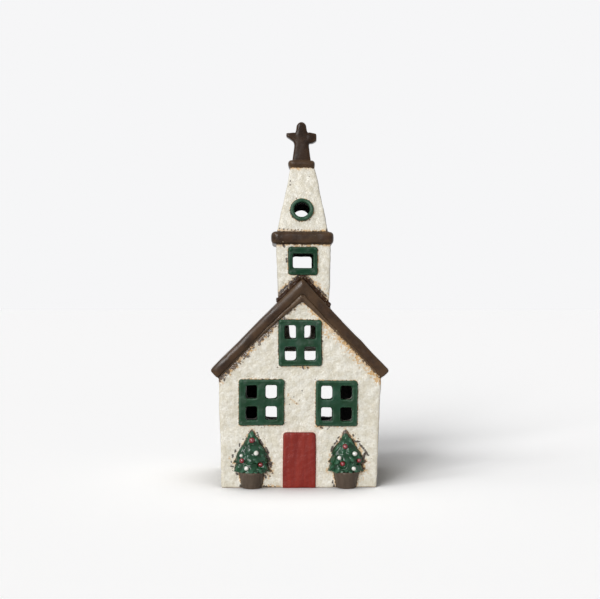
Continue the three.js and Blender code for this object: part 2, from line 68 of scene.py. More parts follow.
# How much a piece is thickened to close its slip joints, and how many times that at a sharp corner
SLIP = 0.2 * MM
SHARPEST = 2.0
# What counts as resting on a neighbour, and how far away a neighbour is still felt
CONTACT = 0.45 * MM
REACH = 8 * MM

# How far one rub of the sponge draws a point towards the points beside it
RUB = 0.5
# What parts the noise of one layer of lumps from the next. Pieces part by the length of their names.
LAYER_SEED = 3.1

# The slow drift that the hand leaves in every piece of the house, the same for all of them. It dies
# away below FOOT_HEIGHT, so that the foot stays flat.
DRIFT_LENGTH, DRIFT = 34 * MM, 0.45 * MM
DRIFT_SEEDS = (7.3, 19.6, 31.9)
FOOT_HEIGHT = 6 * MM

HOUSE = ("front_wall", "back_wall", "left_wall", "right_wall", "floor")
TOWER = ("tower_front_wall", "tower_back_wall", "tower_left_wall", "tower_right_wall")
SPIRE = ("spire_front_wall", "spire_right_wall", "spire_back_wall", "spire_left_wall")
ROOF = ("left_roof", "right_roof")
HOUSE_FRAMES = ("left_window_frame", "right_window_frame", "gable_window_frame")
TOWER_FRAMES = ("tower_front_window_frame", "tower_back_window_frame")
RINGS = ("round_front_window_ring", "round_back_window_ring")
TREES = ("left_tree", "right_tree")
POTS = ("left_pot", "right_pot")
BAUBLES = [n for n in sorted(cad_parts) if "bauble" in n]
TEALIGHT = ("tealight_cup", "tealight_wax", "wick_sustainer", "wick")

# The neighbours that stain the cream walls, by the name under which their distance is kept
BESIDE = {
    "near_left_roof": ("left_roof",),
    "near_right_roof": ("right_roof",),
    "near_coil": ("tower_saddle_coil", "cornice", "spire_collar"),
    "near_green": (*HOUSE_FRAMES, *TOWER_FRAMES, *RINGS),
    "near_leaf": TREES,
    "near_pot": POTS,
    "near_door": ("door",),
}

FRONT_Y, BACK_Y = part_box("front_wall")[0].y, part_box("back_wall")[1].y
RIDGE_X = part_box("left_roof")[1].x


# Meshes

def solid_of(node, swell=0.0):
    """A frame solid with its doubled points merged, grown by swell on every face."""
    made = bmesh.new()
    made.from_mesh(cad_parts[node].data)
    bmesh.ops.remove_doubles(made, verts=made.verts, dist=DOUBLED)
    made.normal_update()
    shifts = [v.normal * min(v.calc_shell_factor(), SHARPEST) * swell for v in made.verts]
    for v, shift in zip(made.verts, shifts):
        v.co += shift
    return made


def gathered(parts):
    """Several bmeshes in one. The parts are freed."""
    whole = bmesh.new()
    for part in parts:
        passing = bpy.data.meshes.new("passing")
        part.to_mesh(passing)
        part.free()
        whole.from_mesh(passing)
        bpy.data.meshes.remove(passing)
    return whole


def placed(name, mesh):
    piece = bpy.data.objects.new(name, mesh)
    bpy.context.scene.collection.objects.link(piece)
    return piece


def placed_shape(name, made):
    """A bmesh as an object. The bmesh is freed."""
    mesh = bpy.data.meshes.new(name)
    made.to_mesh(mesh)
    made.free()
    return placed(name, mesh)


def skin(name, parts, voxel):
    """One closed skin round all the parts, in even quads."""
    rough = placed_shape(name + "_raw", gathered(parts))
    raw = rough.data
    remesh = rough.modifiers.new("Skin", "REMESH")
    remesh.mode = "VOXEL"
    remesh.voxel_size = voxel
    seen = bpy.context.evaluated_depsgraph_get()
    mesh = bpy.data.meshes.new_from_object(rough.evaluated_get(seen))
    bpy.data.objects.remove(rough)
    bpy.data.meshes.remove(raw)
    mesh.name = name
    return placed(name, mesh)


def read_vertices(mesh, what):
    flat = np.empty(len(mesh.vertices) * 3)
    mesh.vertices.foreach_get(what, flat)
    return flat.reshape(-1, 3)


def points_of(mesh):
    return read_vertices(mesh, "co")


def normals_of(mesh):
    return read_vertices(mesh, "normal")


def set_points(mesh, points):
    mesh.vertices.foreach_set("co", points.ravel())
    mesh.update()


def neighbour_mean(mesh, values):
    """The mean of a value over the points that share an edge with each point."""
    ends = np.empty(len(mesh.edges) * 2, np.int32)
    mesh.edges.foreach_get("vertices", ends)
    a, b = ends[0::2], ends[1::2]
    count = np.bincount(ends, minlength=len(values))
    columns = [
        np.bincount(a, column[b], len(values)) + np.bincount(b, column[a], len(values))
        for column in values.T
    ]
    return (columns / np.maximum(count, 1)).T


def near(points, surface, reach=REACH):
    """How far each point is from a surface, up to reach."""
    found = [surface.find_nearest(p, reach)[3] for p in points.tolist()]
    return np.array([reach if d is None else d for d in found])


def ease(values, low, high):
    """0 below low, 1 above high, and a smooth step between them."""
    share = np.clip((values - low) / (high - low), 0, 1)
    return share * share * (3 - 2 * share)


def noise_at(points, size, seed):
    shifted = points / size + seed
    return np.array([noise.noise(p) for p in shifted.tolist()])


def surface_of(nodes):
    whole = gathered([solid_of(node) for node in nodes])
    surface = BVHTree.FromBMesh(whole)
    whole.free()
    return surface


def note(piece, name, values):
    """Keeps a value per point, which the glazes read by its name."""
    attribute = piece.data.attributes.new(name, "FLOAT", "POINT")
    attribute.data.foreach_set("value", values.astype(np.float32))


def clay(name, nodes, voxel, rubs, lumps=(), extras=()):
    """A clay piece made from frame solids and extra lumps of clay, with its free edges rubbed round.

    voxel is the grain of its skin, and lumps are (size, height) pairs for the unevenness of its
    surface, all in millimetres.
    """
    voxel *= MM
    piece = skin(name, [*[solid_of(node, SLIP) for node in nodes], *extras], voxel)
    mesh = piece.data
    points = points_of(mesh)
    others = [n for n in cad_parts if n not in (*nodes, *BAUBLES, *TEALIGHT)]
    free = np.ones(len(points))
    if nodes:
        free = ease(near(points, surface_of(others), 2 * CONTACT), SLIP, CONTACT)
    for _ in range(rubs):
        points += RUB * free[:, None] * (neighbour_mean(mesh, points) - points)
    set_points(mesh, points)

    # How sharply the surface turns outwards: about 1 on an edge rubbed to a radius of 1 mm
    normals = normals_of(mesh)
    bend = np.einsum("ij,ij->i", points - neighbour_mean(mesh, points), normals)
    for _ in range(2):
        bend = neighbour_mean(mesh, bend[:, None])[:, 0]
    note(piece, "edge", 4 * bend / voxel**2 * MM)

    out = -SLIP * free
    for k, (size, height) in enumerate(lumps):
        out = out + height * MM * noise_at(points, size * MM, LAYER_SEED * k + len(name)) * free
    set_points(mesh, points + normals * out[:, None])
    if nodes:
        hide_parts(*nodes)
    return piece


def settle(piece, finish, body="church"):
    """Gives a piece its drift, its smooth shading, its glaze and its body."""
    mesh = piece.data
    points = points_of(mesh)
    if body == "church":
        drift = DRIFT * np.stack([noise_at(points, DRIFT_LENGTH, seed) for seed in DRIFT_SEEDS], axis=1)
        drift[:, 2] *= ease(points[:, 2], 0, FOOT_HEIGHT)
        points = points + drift
        points[:, 2] = np.maximum(points[:, 2], 0)
        set_points(mesh, points)
    mesh.polygons.foreach_set("use_smooth", np.ones(len(mesh.polygons), bool))
    mesh.materials.clear()
    mesh.materials.append(finish)
    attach(piece, body)
    return piece


def note_seat(piece, nodes):
    """Keeps how far each point stands from the shell that the piece is pressed on."""
    note(piece, "seat", near(points_of(piece.data), surface_of(nodes)) / MM)


def glazed(node, finish, voxel, rubs, lumps, extras=(), seat=()):
    """A clay piece of one frame solid, in its glaze. seat names the shell that it is pressed on."""
    piece = clay(node + "_glazed", [node], voxel, rubs, lumps, extras)
    if seat:
        note_seat(piece, seat)
    return settle(piece, finish)


def wrap(made, rings):
    """Joins rings of as many points each into a closed tube."""
    sides = len(rings[0])
    for low, high in zip(rings, rings[1:]):
        for s in range(sides):
            t = (s + 1) % sides
            made.faces.new((low[s], low[t], high[t], high[s]))
    made.faces.new(list(reversed(rings[0])))
    made.faces.new(rings[-1])


def tube(path, radii, sides=10):
    """A closed tube along points, with a radius at each point."""
    made = bmesh.new()
    path = [Vector(p) for p in path]
    rings = []
    for k, (point, radius) in enumerate(zip(path, radii)):
        ahead, behind = path[min(k + 1, len(path) - 1)], path[max(k - 1, 0)]
        turn = (ahead - behind).normalized().to_track_quat("Z", "Y")
        angles = [2 * math.pi * s / sides for s in range(sides)]
        ring = [turn @ Vector((math.cos(a), math.sin(a), 0)) * radius + point for a in angles]
        rings.append([made.verts.new(p) for p in ring])
    wrap(made, rings)
    return made


def dab(centre, radii, rotation=None, rounds=3):
    """A pat of clay or a drop of glaze: a ball with a radius of its own each way."""
    made = bmesh.new()
    bmesh.ops.create_icosphere(made, subdivisions=rounds, radius=1)
    turn = rotation.to_matrix().to_4x4() if rotation else Matrix.Identity(4)
    stretch = Matrix.Diagonal((*radii, 1))
    bmesh.ops.transform(made, matrix=Matrix.Translation(centre) @ turn @ stretch, verts=made.verts)
    return made


def lathe(name, profile, steps):
    """Turns an (r, z) outline, which starts and ends on the axis, round the Z axis."""
    made = bmesh.new()
    rings = []
    for r, z in profile:
        if r == 0:
            rings.append([made.verts.new((0, 0, z))])
            continue
        angles = [2 * math.pi * s / steps for s in range(steps)]
        rings.append([made.verts.new((r * math.cos(a), r * math.sin(a), z)) for a in angles])
    for low, high in zip(rings, rings[1:]):
        for s in range(steps):
            t = (s + 1) % steps
            if len(low) == 1:
                made.faces.new((low[0], high[t], high[s]))
            elif len(high) == 1:
                made.faces.new((low[s], low[t], high[0]))
            else:
                made.faces.new((low[s], low[t], high[t], high[s]))
    bmesh.ops.recalc_face_normals(made, faces=made.faces)
    return placed_shape(name, made)


# Shader nodes

def feed(tree, socket, value):
    """Links a socket to another's output, or sets it to a plain value."""
    if isinstance(value, bpy.types.NodeSocket):
        tree.links.new(value, socket)
    else:
        socket.default_value = value


def calc(tree, operation, *values, clamp=False):
    made = tree.nodes.new("ShaderNodeMath")
    made.operation = operation
    made.use_clamp = clamp
    for socket, value in zip(made.inputs, values):
        feed(tree, socket, value)
    return made.outputs[0]


def scaled(tree, position, factors):
    made = tree.nodes.new("ShaderNodeVectorMath")
    made.operation = "MULTIPLY"
    feed(tree, made.inputs[0], position)
    feed(tree, made.inputs[1], factors)
    return made.outputs[0]


def ramp(tree, value, start, end, low=0.0, high=1.0):
    """low where the value is at start, high where it is at end, eased between them."""
    made = tree.nodes.new("ShaderNodeMapRange")
    made.interpolation_type = "SMOOTHSTEP"
    for socket, given in zip(made.inputs, (value, start, end, low, high)):
        feed(tree, socket, given)
    return made.outputs[0]


def mixed(tree, factor, a, b):
    """Colour a where the factor is 0, and b where it is 1. The node has its colours in sockets 6 and 7."""
    made = tree.nodes.new("ShaderNodeMix")
    made.data_type = "RGBA"
    feed(tree, made.inputs[0], factor)
    feed(tree, made.inputs[6], a)
    feed(tree, made.inputs[7], b)
    return made.outputs[2]


def grain(tree, position, size, detail=2.0, rough=0.5):
    """Noise whose lumps are about size millimetres across."""
    made = tree.nodes.new("ShaderNodeTexNoise")
    feed(tree, made.inputs["Vector"], position)
    if isinstance(size, bpy.types.NodeSocket):
        size = calc(tree, "DIVIDE", 1.0, size)
    else:
        size = 1 / size
    feed(tree, made.inputs["Scale"], size)
    made.inputs["Detail"].default_value = detail
    made.inputs["Roughness"].default_value = rough
    return made.outputs[0]


def noted(tree, name):
    made = tree.nodes.new("ShaderNodeAttribute")
    made.attribute_name = name
    return made.outputs["Fac"]


def group(name, inputs, outputs):
    """A new node group, with its own sockets to build between. An input of None is a position."""
    tree = bpy.data.node_groups.new(name, "ShaderNodeTree")
    for label, value in inputs.items():
        kind = "NodeSocketVector" if value is None else "NodeSocketFloat"
        socket = tree.interface.new_socket(label, in_out="INPUT", socket_type=kind)
        if value is not None:
            socket.default_value = value
    for label in outputs:
        tree.interface.new_socket(label, in_out="OUTPUT", socket_type="NodeSocketFloat")
    given = tree.nodes.new("NodeGroupInput").outputs
    made = tree.nodes.new("NodeGroupOutput").inputs
    return tree, given, made


def use(tree, shared, output=0, **values):
    """Places a node group in a material and gives one of its outputs."""
    made = tree.nodes.new("ShaderNodeGroup")
    made.node_tree = shared
    for label, value in values.items():
        feed(tree, made.inputs[label], value)
    return made.outputs[output]


def mottle_group():
    """Cloudy unevenness of a glaze, from 0 to 1."""
    tree, given, made = group("glaze_mottle", {"Position": None, "Size": 4.0}, ["Cloud", "Grain"])
    broad = grain(tree, given["Position"], given["Size"], detail=3.0, rough=0.6)
    feed(tree, made["Cloud"], ramp(tree, broad, 0.34, 0.66))
    fine_size = calc(tree, "MULTIPLY", given["Size"], 0.22)
    fine = grain(tree, given["Position"], fine_size, detail=2.0, rough=0.6)
    feed(tree, made["Grain"], ramp(tree, fine, 0.3, 0.7))
    return tree


def specks_group():
    """Round specks in a loose scatter. Share is how many of the places hold one."""
    sockets = {"Position": None, "Spacing": 2.0, "Size": 0.3, "Share": 0.5}
    tree, given, made = group("iron_specks", sockets, ["Mask"])
    ragged = tree.nodes.new("ShaderNodeTexNoise")
    feed(tree, ragged.inputs["Vector"], given["Position"])
    ragged.inputs["Scale"].default_value = 1.6
    shaken = tree.nodes.new("ShaderNodeVectorMath")
    shaken.operation = "MULTIPLY_ADD"
    feed(tree, shaken.inputs[0], ragged.outputs["Color"])
    shaken.inputs[1].default_value = (0.5, 0.5, 0.5)
    feed(tree, shaken.inputs[2], given["Position"])
    cells = tree.nodes.new("ShaderNodeTexVoronoi")
    feed(tree, cells.inputs["Vector"], shaken.outputs[0])
    feed(tree, cells.inputs["Scale"], calc(tree, "DIVIDE", 1.0, given["Spacing"]))
    chance = tree.nodes.new("ShaderNodeSeparateColor")
    feed(tree, chance.inputs[0], cells.outputs["Color"])
    radius = calc(tree, "DIVIDE", given["Size"], given["Spacing"])
    radius = calc(tree, "MULTIPLY", radius, calc(tree, "ADD", chance.outputs[1], 0.5))
    spot = ramp(tree, cells.outputs["Distance"], radius, calc(tree, "MULTIPLY", radius, 0.5))
    chosen = calc(tree, "LESS_THAN", chance.outputs[0], given["Share"])
    feed(tree, made["Mask"], calc(tree, "MULTIPLY", spot, chosen))
    return tree


def stain_group():
    """Colour that creeps from a neighbour. Its edge is frayed at the scale of Grain."""
    sockets = {"Position": None, "Distance": 1.0, "Reach": 2.0, "Grain": 1.2, "Soft": 0.5}
    tree, given, made = group("creeping_stain", sockets, ["Mask"])
    fray = grain(tree, given["Position"], given["Grain"], detail=3.0, rough=0.65)
    limit = calc(tree, "MULTIPLY", ramp(tree, fray, 0.3, 0.7, 0.05, 1.0), given["Reach"])
    inner = calc(tree, "MULTIPLY", limit, calc(tree, "SUBTRACT", 1.0, given["Soft"]))
    feed(tree, made["Mask"], ramp(tree, given["Distance"], limit, inner))
    return tree


def relief_group():
    """The height of a hand-smoothed, glazed surface: soft lumps, fine orange peel and pinholes."""
    sockets = {"Position": None, "Lump": 3.0, "Peel": 0.4, "Pits": 0.3}
    tree, given, made = group("hand_relief", sockets, ["Height"])
    lumps = grain(tree, given["Position"], given["Lump"], detail=2.0)
    peel = grain(tree, given["Position"], calc(tree, "MULTIPLY", given["Lump"], 0.25), detail=1.0)
    height = calc(tree, "MULTIPLY_ADD", peel, given["Peel"], lumps)
    cells = tree.nodes.new("ShaderNodeTexVoronoi")
    feed(tree, cells.inputs["Vector"], given["Position"])
    cells.inputs["Scale"].default_value = 0.45
    pit = ramp(tree, cells.outputs["Distance"], 0.05, 0.17, 1.0, 0.0)
    feed(tree, made["Height"], calc(tree, "SUBTRACT", height, calc(tree, "MULTIPLY", pit, given["Pits"])))
    return tree


def blot_group():
    """A run of glaze with a frayed edge. Distance is how far outside its even outline a place is."""
    tree, given, made = group("glaze_run", {"Position": None, "Distance": 1.0}, ["Mask"])
    fray = grain(tree, given["Position"], 0.8, detail=2.0, rough=0.6)
    outline = calc(tree, "MULTIPLY_ADD", calc(tree, "SUBTRACT", fray, 0.5), 1.3, given["Distance"])
    feed(tree, made["Mask"], ramp(tree, outline, 0.25, -0.1))
    return tree


MOTTLE, SPECKS, STAIN = mottle_group(), specks_group(), stain_group()
RELIEF, BLOT = relief_group(), blot_group()


def srgb(*levels):
    """A colour from its 0 to 255 levels."""
    shares = [level / 255 for level in levels]
    linear = [s / 12.92 if s < 0.04045 else ((s + 0.055) / 1.055) ** 2.4 for s in shares]
    return (*linear, 1.0)


def new_finish(name, **settings):
    """A material with its shader, and the position on the piece in millimetres."""
    material = bpy.data.materials.new(name)
    material.use_nodes = True
    tree = material.node_tree
    shader = tree.nodes["Principled BSDF"]
    for label, value in settings.items():
        shader.inputs[label.replace("_", " ")].default_value = value
    where = tree.nodes.new("ShaderNodeTexCoord")
    position = scaled(tree, where.outputs["Object"], (1000, 1000, 1000))
    return material, tree, shader, position


def dress(tree, shader, colour, roughness, height=None, distance=0.0):
    """Gives the shader its colour, its roughness and the relief of its surface.

    distance is what a height of 1 stands for, in millimetres.
    """
    feed(tree, shader.inputs["Base Color"], colour)
    feed(tree, shader.inputs["Roughness"], roughness)
    if height is None:
        return
    bump = tree.nodes.new("ShaderNodeBump")
    bump.inputs["Strength"].default_value = 1.0
    bump.inputs["Distance"].default_value = distance * MM
    feed(tree, bump.inputs["Height"], height)
    feed(tree, shader.inputs["Normal"], bump.outputs["Normal"])


# Glazes

DARK_BROWN = srgb(46, 27, 13)
RUST = srgb(206, 162, 98)


def largest(tree, *values):
    found = values[0]
    for value in values[1:]:
        found = calc(tree, "MAXIMUM", found, value)
    return found


def tinted(tree, colour, mask, strength, tint):
    """A colour with a tint over it, as strong as strength where the mask is 1."""
    return mixed(tree, calc(tree, "MULTIPLY", mask, strength), colour, tint)


def mottling(tree, at, cloud_size, grain_size):
    """The cloudy and the fine unevenness of a glaze, each at its own size in millimetres."""
    cloud = use(tree, MOTTLE, "Cloud", Position=at, Size=cloud_size)
    fine = use(tree, MOTTLE, "Grain", Position=at, Size=grain_size)
    return cloud, fine


def cream_ground(tree, at, fine):
    """Oatmeal cream with tan specks and faint grey streaks."""
    cloud = use(tree, MOTTLE, "Cloud", Position=at, Size=3.4)
    colour = mixed(tree, cloud, srgb(223, 217, 199), srgb(241, 238, 227))
    colour = tinted(tree, colour, fine, 0.5, srgb(204, 194, 174))
    tan = use(tree, SPECKS, Position=at, Spacing=3.6, Size=0.42, Share=0.4)
    colour = tinted(tree, colour, tan, 0.55, srgb(150, 122, 94))
    stretched = scaled(tree, at, (1, 1, 0.5))
    grey = use(tree, SPECKS, Position=stretched, Spacing=1.7, Size=0.42, Share=0.5)
    return tinted(tree, colour, grey, 0.2, srgb(168, 160, 138))


def iron_stains(tree, at, fine, colour):
    """The cream with rust halos, iron specks and dark slip from its neighbours, and where the slip lies."""
    left, right = noted(tree, "near_left_roof"), noted(tree, "near_right_roof")
    coil, green = noted(tree, "near_coil"), noted(tree, "near_green")
    leaf, pot, red = noted(tree, "near_leaf"), noted(tree, "near_pot"), noted(tree, "near_door")
    ochre, dark = noted(tree, "ochre_run"), noted(tree, "dark_run")

    def stain(distance, reach, size, soft):
        return use(tree, STAIN, Position=at, Distance=distance, Reach=reach, Grain=size, Soft=soft)

    halo = largest(
        tree, stain(left, 7.0, 1.8, 0.5), stain(right, 8.0, 1.5, 0.45), stain(coil, 3.0, 2.0, 0.8),
        stain(green, 1.5, 2.0, 0.8), stain(leaf, 3.6, 1.4, 0.8), stain(pot, 2.0, 2.0, 0.8),
        stain(calc(tree, "ADD", ochre, 1.0), 2.2, 1.2, 0.7),
    )
    patchy = ramp(tree, grain(tree, at, 7.0), 0.36, 0.6, 0.6, 1.0)
    colour = tinted(tree, colour, calc(tree, "MULTIPLY", halo, patchy), 0.9, RUST)
    blush = ramp(tree, red, 1.6, 0.1, 0.0, 0.45)
    colour = mixed(tree, blush, colour, srgb(228, 188, 170))

    spread = largest(
        tree, ramp(tree, left, 5.6, 0.8), ramp(tree, right, 5.0, 0.6, 0.0, 0.9),
        ramp(tree, leaf, 4.2, 0.4), ramp(tree, ochre, 1.6, -0.4),
        ramp(tree, coil, 2.6, 0.2, 0.0, 0.8), ramp(tree, green, 2.4, 0.2, 0.0, 0.5),
        ramp(tree, pot, 1.4, 0.2, 0.0, 0.5),
    )
    share = calc(tree, "MULTIPLY", spread, 0.5)
    iron = use(tree, SPECKS, Position=at, Spacing=1.5, Size=0.5, Share=share)
    colour = tinted(tree, colour, iron, 0.85, srgb(88, 54, 28))

    slip = largest(
        tree, stain(left, 5.4, 1.6, 0.3), stain(right, 2.2, 1.0, 0.3), stain(coil, 0.8, 1.2, 0.3),
        stain(leaf, 1.6, 1.7, 0.3), stain(pot, 0.7, 1.0, 0.3), stain(green, 0.7, 0.9, 0.2),
    )
    colour = tinted(tree, colour, slip, 0.92, mixed(tree, fine, DARK_BROWN, srgb(88, 58, 30)))
    run = use(tree, BLOT, Position=at, Distance=dark)
    return tinted(tree, colour, run, 0.95, srgb(44, 26, 13)), slip


def cream_glaze():
    """The glaze of the walls, painted near-black on the inside as shade, and bare clay underneath."""
    finish, tree, shader, at = new_finish("cream_glaze", IOR=1.5)
    inside, foot = noted(tree, "inside"), noted(tree, "foot")
    fine = use(tree, MOTTLE, "Grain", Position=at, Size=4.5)
    colour, slip = iron_stains(tree, at, fine, cream_ground(tree, at, fine))
    worn = calc(tree, "MULTIPLY", ramp(tree, noted(tree, "edge"), 0.25, 0.8), fine)
    colour = tinted(tree, colour, worn, 0.3, srgb(184, 158, 124))
    # Painted shade: the inside of the shell, its inward reveals and the wall's edges behind the panes go
    # near-black.
    colour = mixed(tree, inside, colour, srgb(12, 10, 8))
    colour = mixed(tree, foot, colour, srgb(182, 156, 126))

    roughness = calc(tree, "MULTIPLY_ADD", fine, 0.14, 0.3)
    roughness = calc(tree, "MULTIPLY_ADD", slip, -0.12, roughness)
    dull = calc(tree, "MAXIMUM", inside, foot)
    roughness = calc(tree, "MULTIPLY_ADD", dull, 0.4, roughness)

    outside = calc(tree, "SUBTRACT", 1.0, inside, clamp=True)
    height = use(tree, RELIEF, Position=at, Lump=2.4, Peel=0.3, Pits=0.3)
    height = calc(tree, "MULTIPLY_ADD", calc(tree, "MULTIPLY", slip, outside), 0.3, height)
    dress(tree, shader, colour, roughness, height, 0.45)
    return finish


def brown_glaze(name, deep, bright, thinned, cream_share, shine):
    """Treacle brown that breaks paler on its edges, with cream spots where it met the wall glaze."""
    finish, tree, shader, at = new_finish(name, IOR=1.5, Specular_IOR_Level=shine)
    cloud, fine = mottling(tree, at, 6.5, 3.4)
    colour = tinted(tree, mixed(tree, cloud, srgb(*deep), srgb(*bright)), fine, 0.3, srgb(74, 56, 42))
    running_down = scaled(tree, at, (0.22, 1.0, 0.22))
    flow = ramp(tree, grain(tree, running_down, 3.2, detail=3.0), 0.46, 0.66, 0.0, 0.2)
    colour = mixed(tree, flow, colour, srgb(*thinned))
    broken = ramp(tree, fine, 0.0, 1.0, 0.5, 1.0)
    thin = calc(tree, "MULTIPLY", ramp(tree, noted(tree, "edge"), 0.12, 0.55), broken)
    colour = tinted(tree, colour, thin, 0.5, srgb(*thinned))
    spots = use(tree, SPECKS, Position=at, Spacing=1.5, Size=0.45, Share=cream_share)
    colour = tinted(tree, colour, spots, 0.8, srgb(196, 178, 146))
    pooled = ramp(tree, grain(tree, at, 18.0), 0.4, 0.6)
    height = use(tree, RELIEF, Position=at, Lump=5.0, Peel=0.08, Pits=0.1)
    dress(tree, shader, colour, calc(tree, "MULTIPLY_ADD", pooled, 0.14, 0.22), height, 0.1)
    return finish


def green_glaze(name, deep, bright, shine):
    """Bottle green on the window frames and rings, thin and brownish where it meets the wall."""
    finish, tree, shader, at = new_finish(name, IOR=1.5, Specular_IOR_Level=shine)
    cloud, fine = mottling(tree, at, 3.0, 2.4)
    colour = mixed(tree, ramp(tree, grain(tree, at, 9.0), 0.4, 0.6), srgb(*deep), srgb(*bright))
    colour = tinted(tree, colour, cloud, 0.35, srgb(2, 38, 18))
    broken = ramp(tree, fine, 0.2, 0.8, 0.4, 1.0)
    thin = calc(tree, "MULTIPLY", ramp(tree, noted(tree, "edge"), 0.1, 0.7), broken)
    colour = tinted(tree, colour, thin, 0.4, srgb(92, 128, 104))
    seam = use(tree, STAIN, Position=at, Distance=noted(tree, "seat"), Reach=0.8, Grain=1.0, Soft=0.6)
    colour = tinted(tree, colour, seam, 0.75, srgb(44, 36, 24))
    height = use(tree, RELIEF, Position=at, Lump=2.6, Peel=0.15, Pits=0.1)
    dress(tree, shader, colour, calc(tree, "MULTIPLY_ADD", fine, 0.12, 0.3), height, 0.06)
    return finish


def red_glaze():
    """Brick red, brushed up and down on the door, darker where it pooled at the edges."""
    finish, tree, shader, at = new_finish("red_glaze", IOR=1.5, Specular_IOR_Level=0.2)
    brushed = scaled(tree, at, (1.0, 1.0, 0.12))
    streak = ramp(tree, grain(tree, brushed, 3.4, detail=3.0, rough=0.5), 0.3, 0.7)
    fine = use(tree, MOTTLE, "Grain", Position=at, Size=3.0)
    colour = mixed(tree, streak, srgb(122, 34, 29), srgb(142, 46, 36))
    colour = tinted(tree, colour, fine, 0.25, srgb(134, 54, 38))
    pooled = ramp(tree, noted(tree, "seat"), 0.9, 0.2)
    colour = tinted(tree, colour, pooled, 0.6, srgb(84, 22, 22))
    flecks = use(tree, SPECKS, Position=at, Spacing=3.4, Size=0.34, Share=0.22)
    colour = tinted(tree, colour, flecks, 0.5, srgb(196, 128, 110))
    height = calc(tree, "MULTIPLY_ADD", streak, 0.3, use(tree, RELIEF, Position=at, Lump=2.4))
    dress(tree, shader, colour, calc(tree, "MULTIPLY_ADD", streak, 0.12, 0.3), height, 0.2)
    return finish


def leaf_glaze():
    """Fir green that pools deep in the scoops of the foliage and is lighter on its ridges, as thinned glaze
    and partly as a painted highlight.
    """
    finish, tree, shader, at = new_finish("leaf_glaze", IOR=1.5, Specular_IOR_Level=0.32)
    cloud, fine = mottling(tree, at, 2.2, 2.0)
    colour = mixed(tree, cloud, srgb(0, 42, 18), srgb(0, 62, 30))
    washed = ramp(tree, grain(tree, at, 5.0), 0.48, 0.6, 0.0, 0.6)
    colour = mixed(tree, washed, colour, srgb(38, 82, 60))
    # Ridges lighter mint: thinned glaze, and partly a painted highlight.
    colour = tinted(tree, colour, ramp(tree, noted(tree, "edge"), 0.2, 0.8), 0.6, srgb(84, 136, 108))
    seam = use(tree, STAIN, Position=at, Distance=noted(tree, "seat"), Reach=1.0, Grain=1.2, Soft=0.4)
    colour = tinted(tree, colour, seam, 0.8, srgb(52, 38, 24))
    height = use(tree, RELIEF, Position=at, Lump=2.6, Peel=0.1, Pits=0.1)
    dress(tree, shader, colour, calc(tree, "MULTIPLY_ADD", fine, 0.08, 0.14), height, 0.05)
    return finish


def pot_glaze():
    """Mushroom brown on the pots, with the marks of the brush running down."""
    finish, tree, shader, at = new_finish("pot_glaze", IOR=1.5, Specular_IOR_Level=0.25)
    brushed = scaled(tree, at, (1.0, 1.0, 0.2))
    streak = ramp(tree, grain(tree, brushed, 1.4, detail=3.0, rough=0.6), 0.3, 0.7)
    fine = use(tree, MOTTLE, "Grain", Position=at, Size=2.0)
    colour = mixed(tree, streak, srgb(76, 64, 53), srgb(88, 75, 64))
    colour = tinted(tree, colour, ramp(tree, noted(tree, "edge"), 0.1, 0.7), 0.15, srgb(128, 110, 92))
    seam = use(tree, STAIN, Position=at, Distance=noted(tree, "seat"), Reach=1.1, Grain=1.2, Soft=0.4)
    colour = tinted(tree, colour, seam, 0.8, srgb(44, 32, 22))
    height = use(tree, RELIEF, Position=at, Lump=1.8)
    dress(tree, shader, colour, calc(tree, "MULTIPLY_ADD", fine, 0.14, 0.32), height, 0.14)
    return finish


def bauble_glaze(name, deep, bright):
    """A drop of glossy glaze, cloudy between a deeper and a brighter tone."""
    finish, tree, shader, at = new_finish(name, IOR=1.55, Specular_IOR_Level=0.75)
    cloud, fine = mottling(tree, at, 1.2, 1.4)
    colour = mixed(tree, cloud, srgb(*deep), srgb(*bright))
    height = use(tree, RELIEF, Position=at, Lump=1.4, Peel=0.1, Pits=0.0)
    dress(tree, shader, colour, calc(tree, "MULTIPLY_ADD", fine, 0.06, 0.06), height, 0.03)
    return finish


def foil_finish():
    """Thin pressed aluminium with faint wrinkles."""
    finish, tree, shader, at = new_finish("foil", Metallic=1.0)
    cloud = use(tree, MOTTLE, "Cloud", Position=at, Size=3.0)
    colour = mixed(tree, cloud, srgb(196, 198, 201), srgb(222, 223, 225))
    drawn = grain(tree, scaled(tree, at, (1.0, 1.0, 0.15)), 0.7, detail=3.0)
    dress(tree, shader, colour, ramp(tree, drawn, 0.2, 0.8, 0.22, 0.42), drawn, 0.12)
    return finish


def wax_finish():
    """White paraffin, faintly mottled, that lets a little light in."""
    finish, tree, shader, at = new_finish(
        "wax", Subsurface_Weight=0.25, Subsurface_Scale=0.004, IOR=1.44
    )
    cloud, fine = mottling(tree, at, 2.6, 3.0)
    colour = mixed(tree, cloud, srgb(236, 231, 219), srgb(245, 242, 234))
    height = use(tree, RELIEF, Position=at, Lump=4.0, Peel=0.2, Pits=0.4)
    dress(tree, shader, colour, calc(tree, "MULTIPLY_ADD", fine, 0.2, 0.34), height, 0.12)
    return finish


def cotton_finish():
    """Braided cotton, waxed, with its strands running round."""
    finish, tree, shader, at = new_finish("cotton")
    strands = tree.nodes.new("ShaderNodeTexWave")
    strands.bands_direction = "DIAGONAL"
    feed(tree, strands.inputs["Vector"], at)
    strands.inputs["Scale"].default_value = 1.1
    strands.inputs["Distortion"].default_value = 1.2
    strand = strands.outputs["Fac"]
    dress(tree, shader, mixed(tree, strand, srgb(206, 196, 172), srgb(240, 234, 218)), 0.85, strand, 0.1)
    return finish


def tin_finish():
    """Dull brushed tin."""
    finish, tree, shader, at = new_finish("tin", Metallic=1.0)
    brushed = grain(tree, scaled(tree, at, (0.3, 4.0, 1.0)), 1.0, detail=3.0)
    colour = mixed(tree, brushed, srgb(150, 152, 155), srgb(186, 188, 190))
    dress(tree, shader, colour, ramp(tree, brushed, 0.2, 0.8, 0.3, 0.5))
    return finish


# The shells of the house, tower and spire

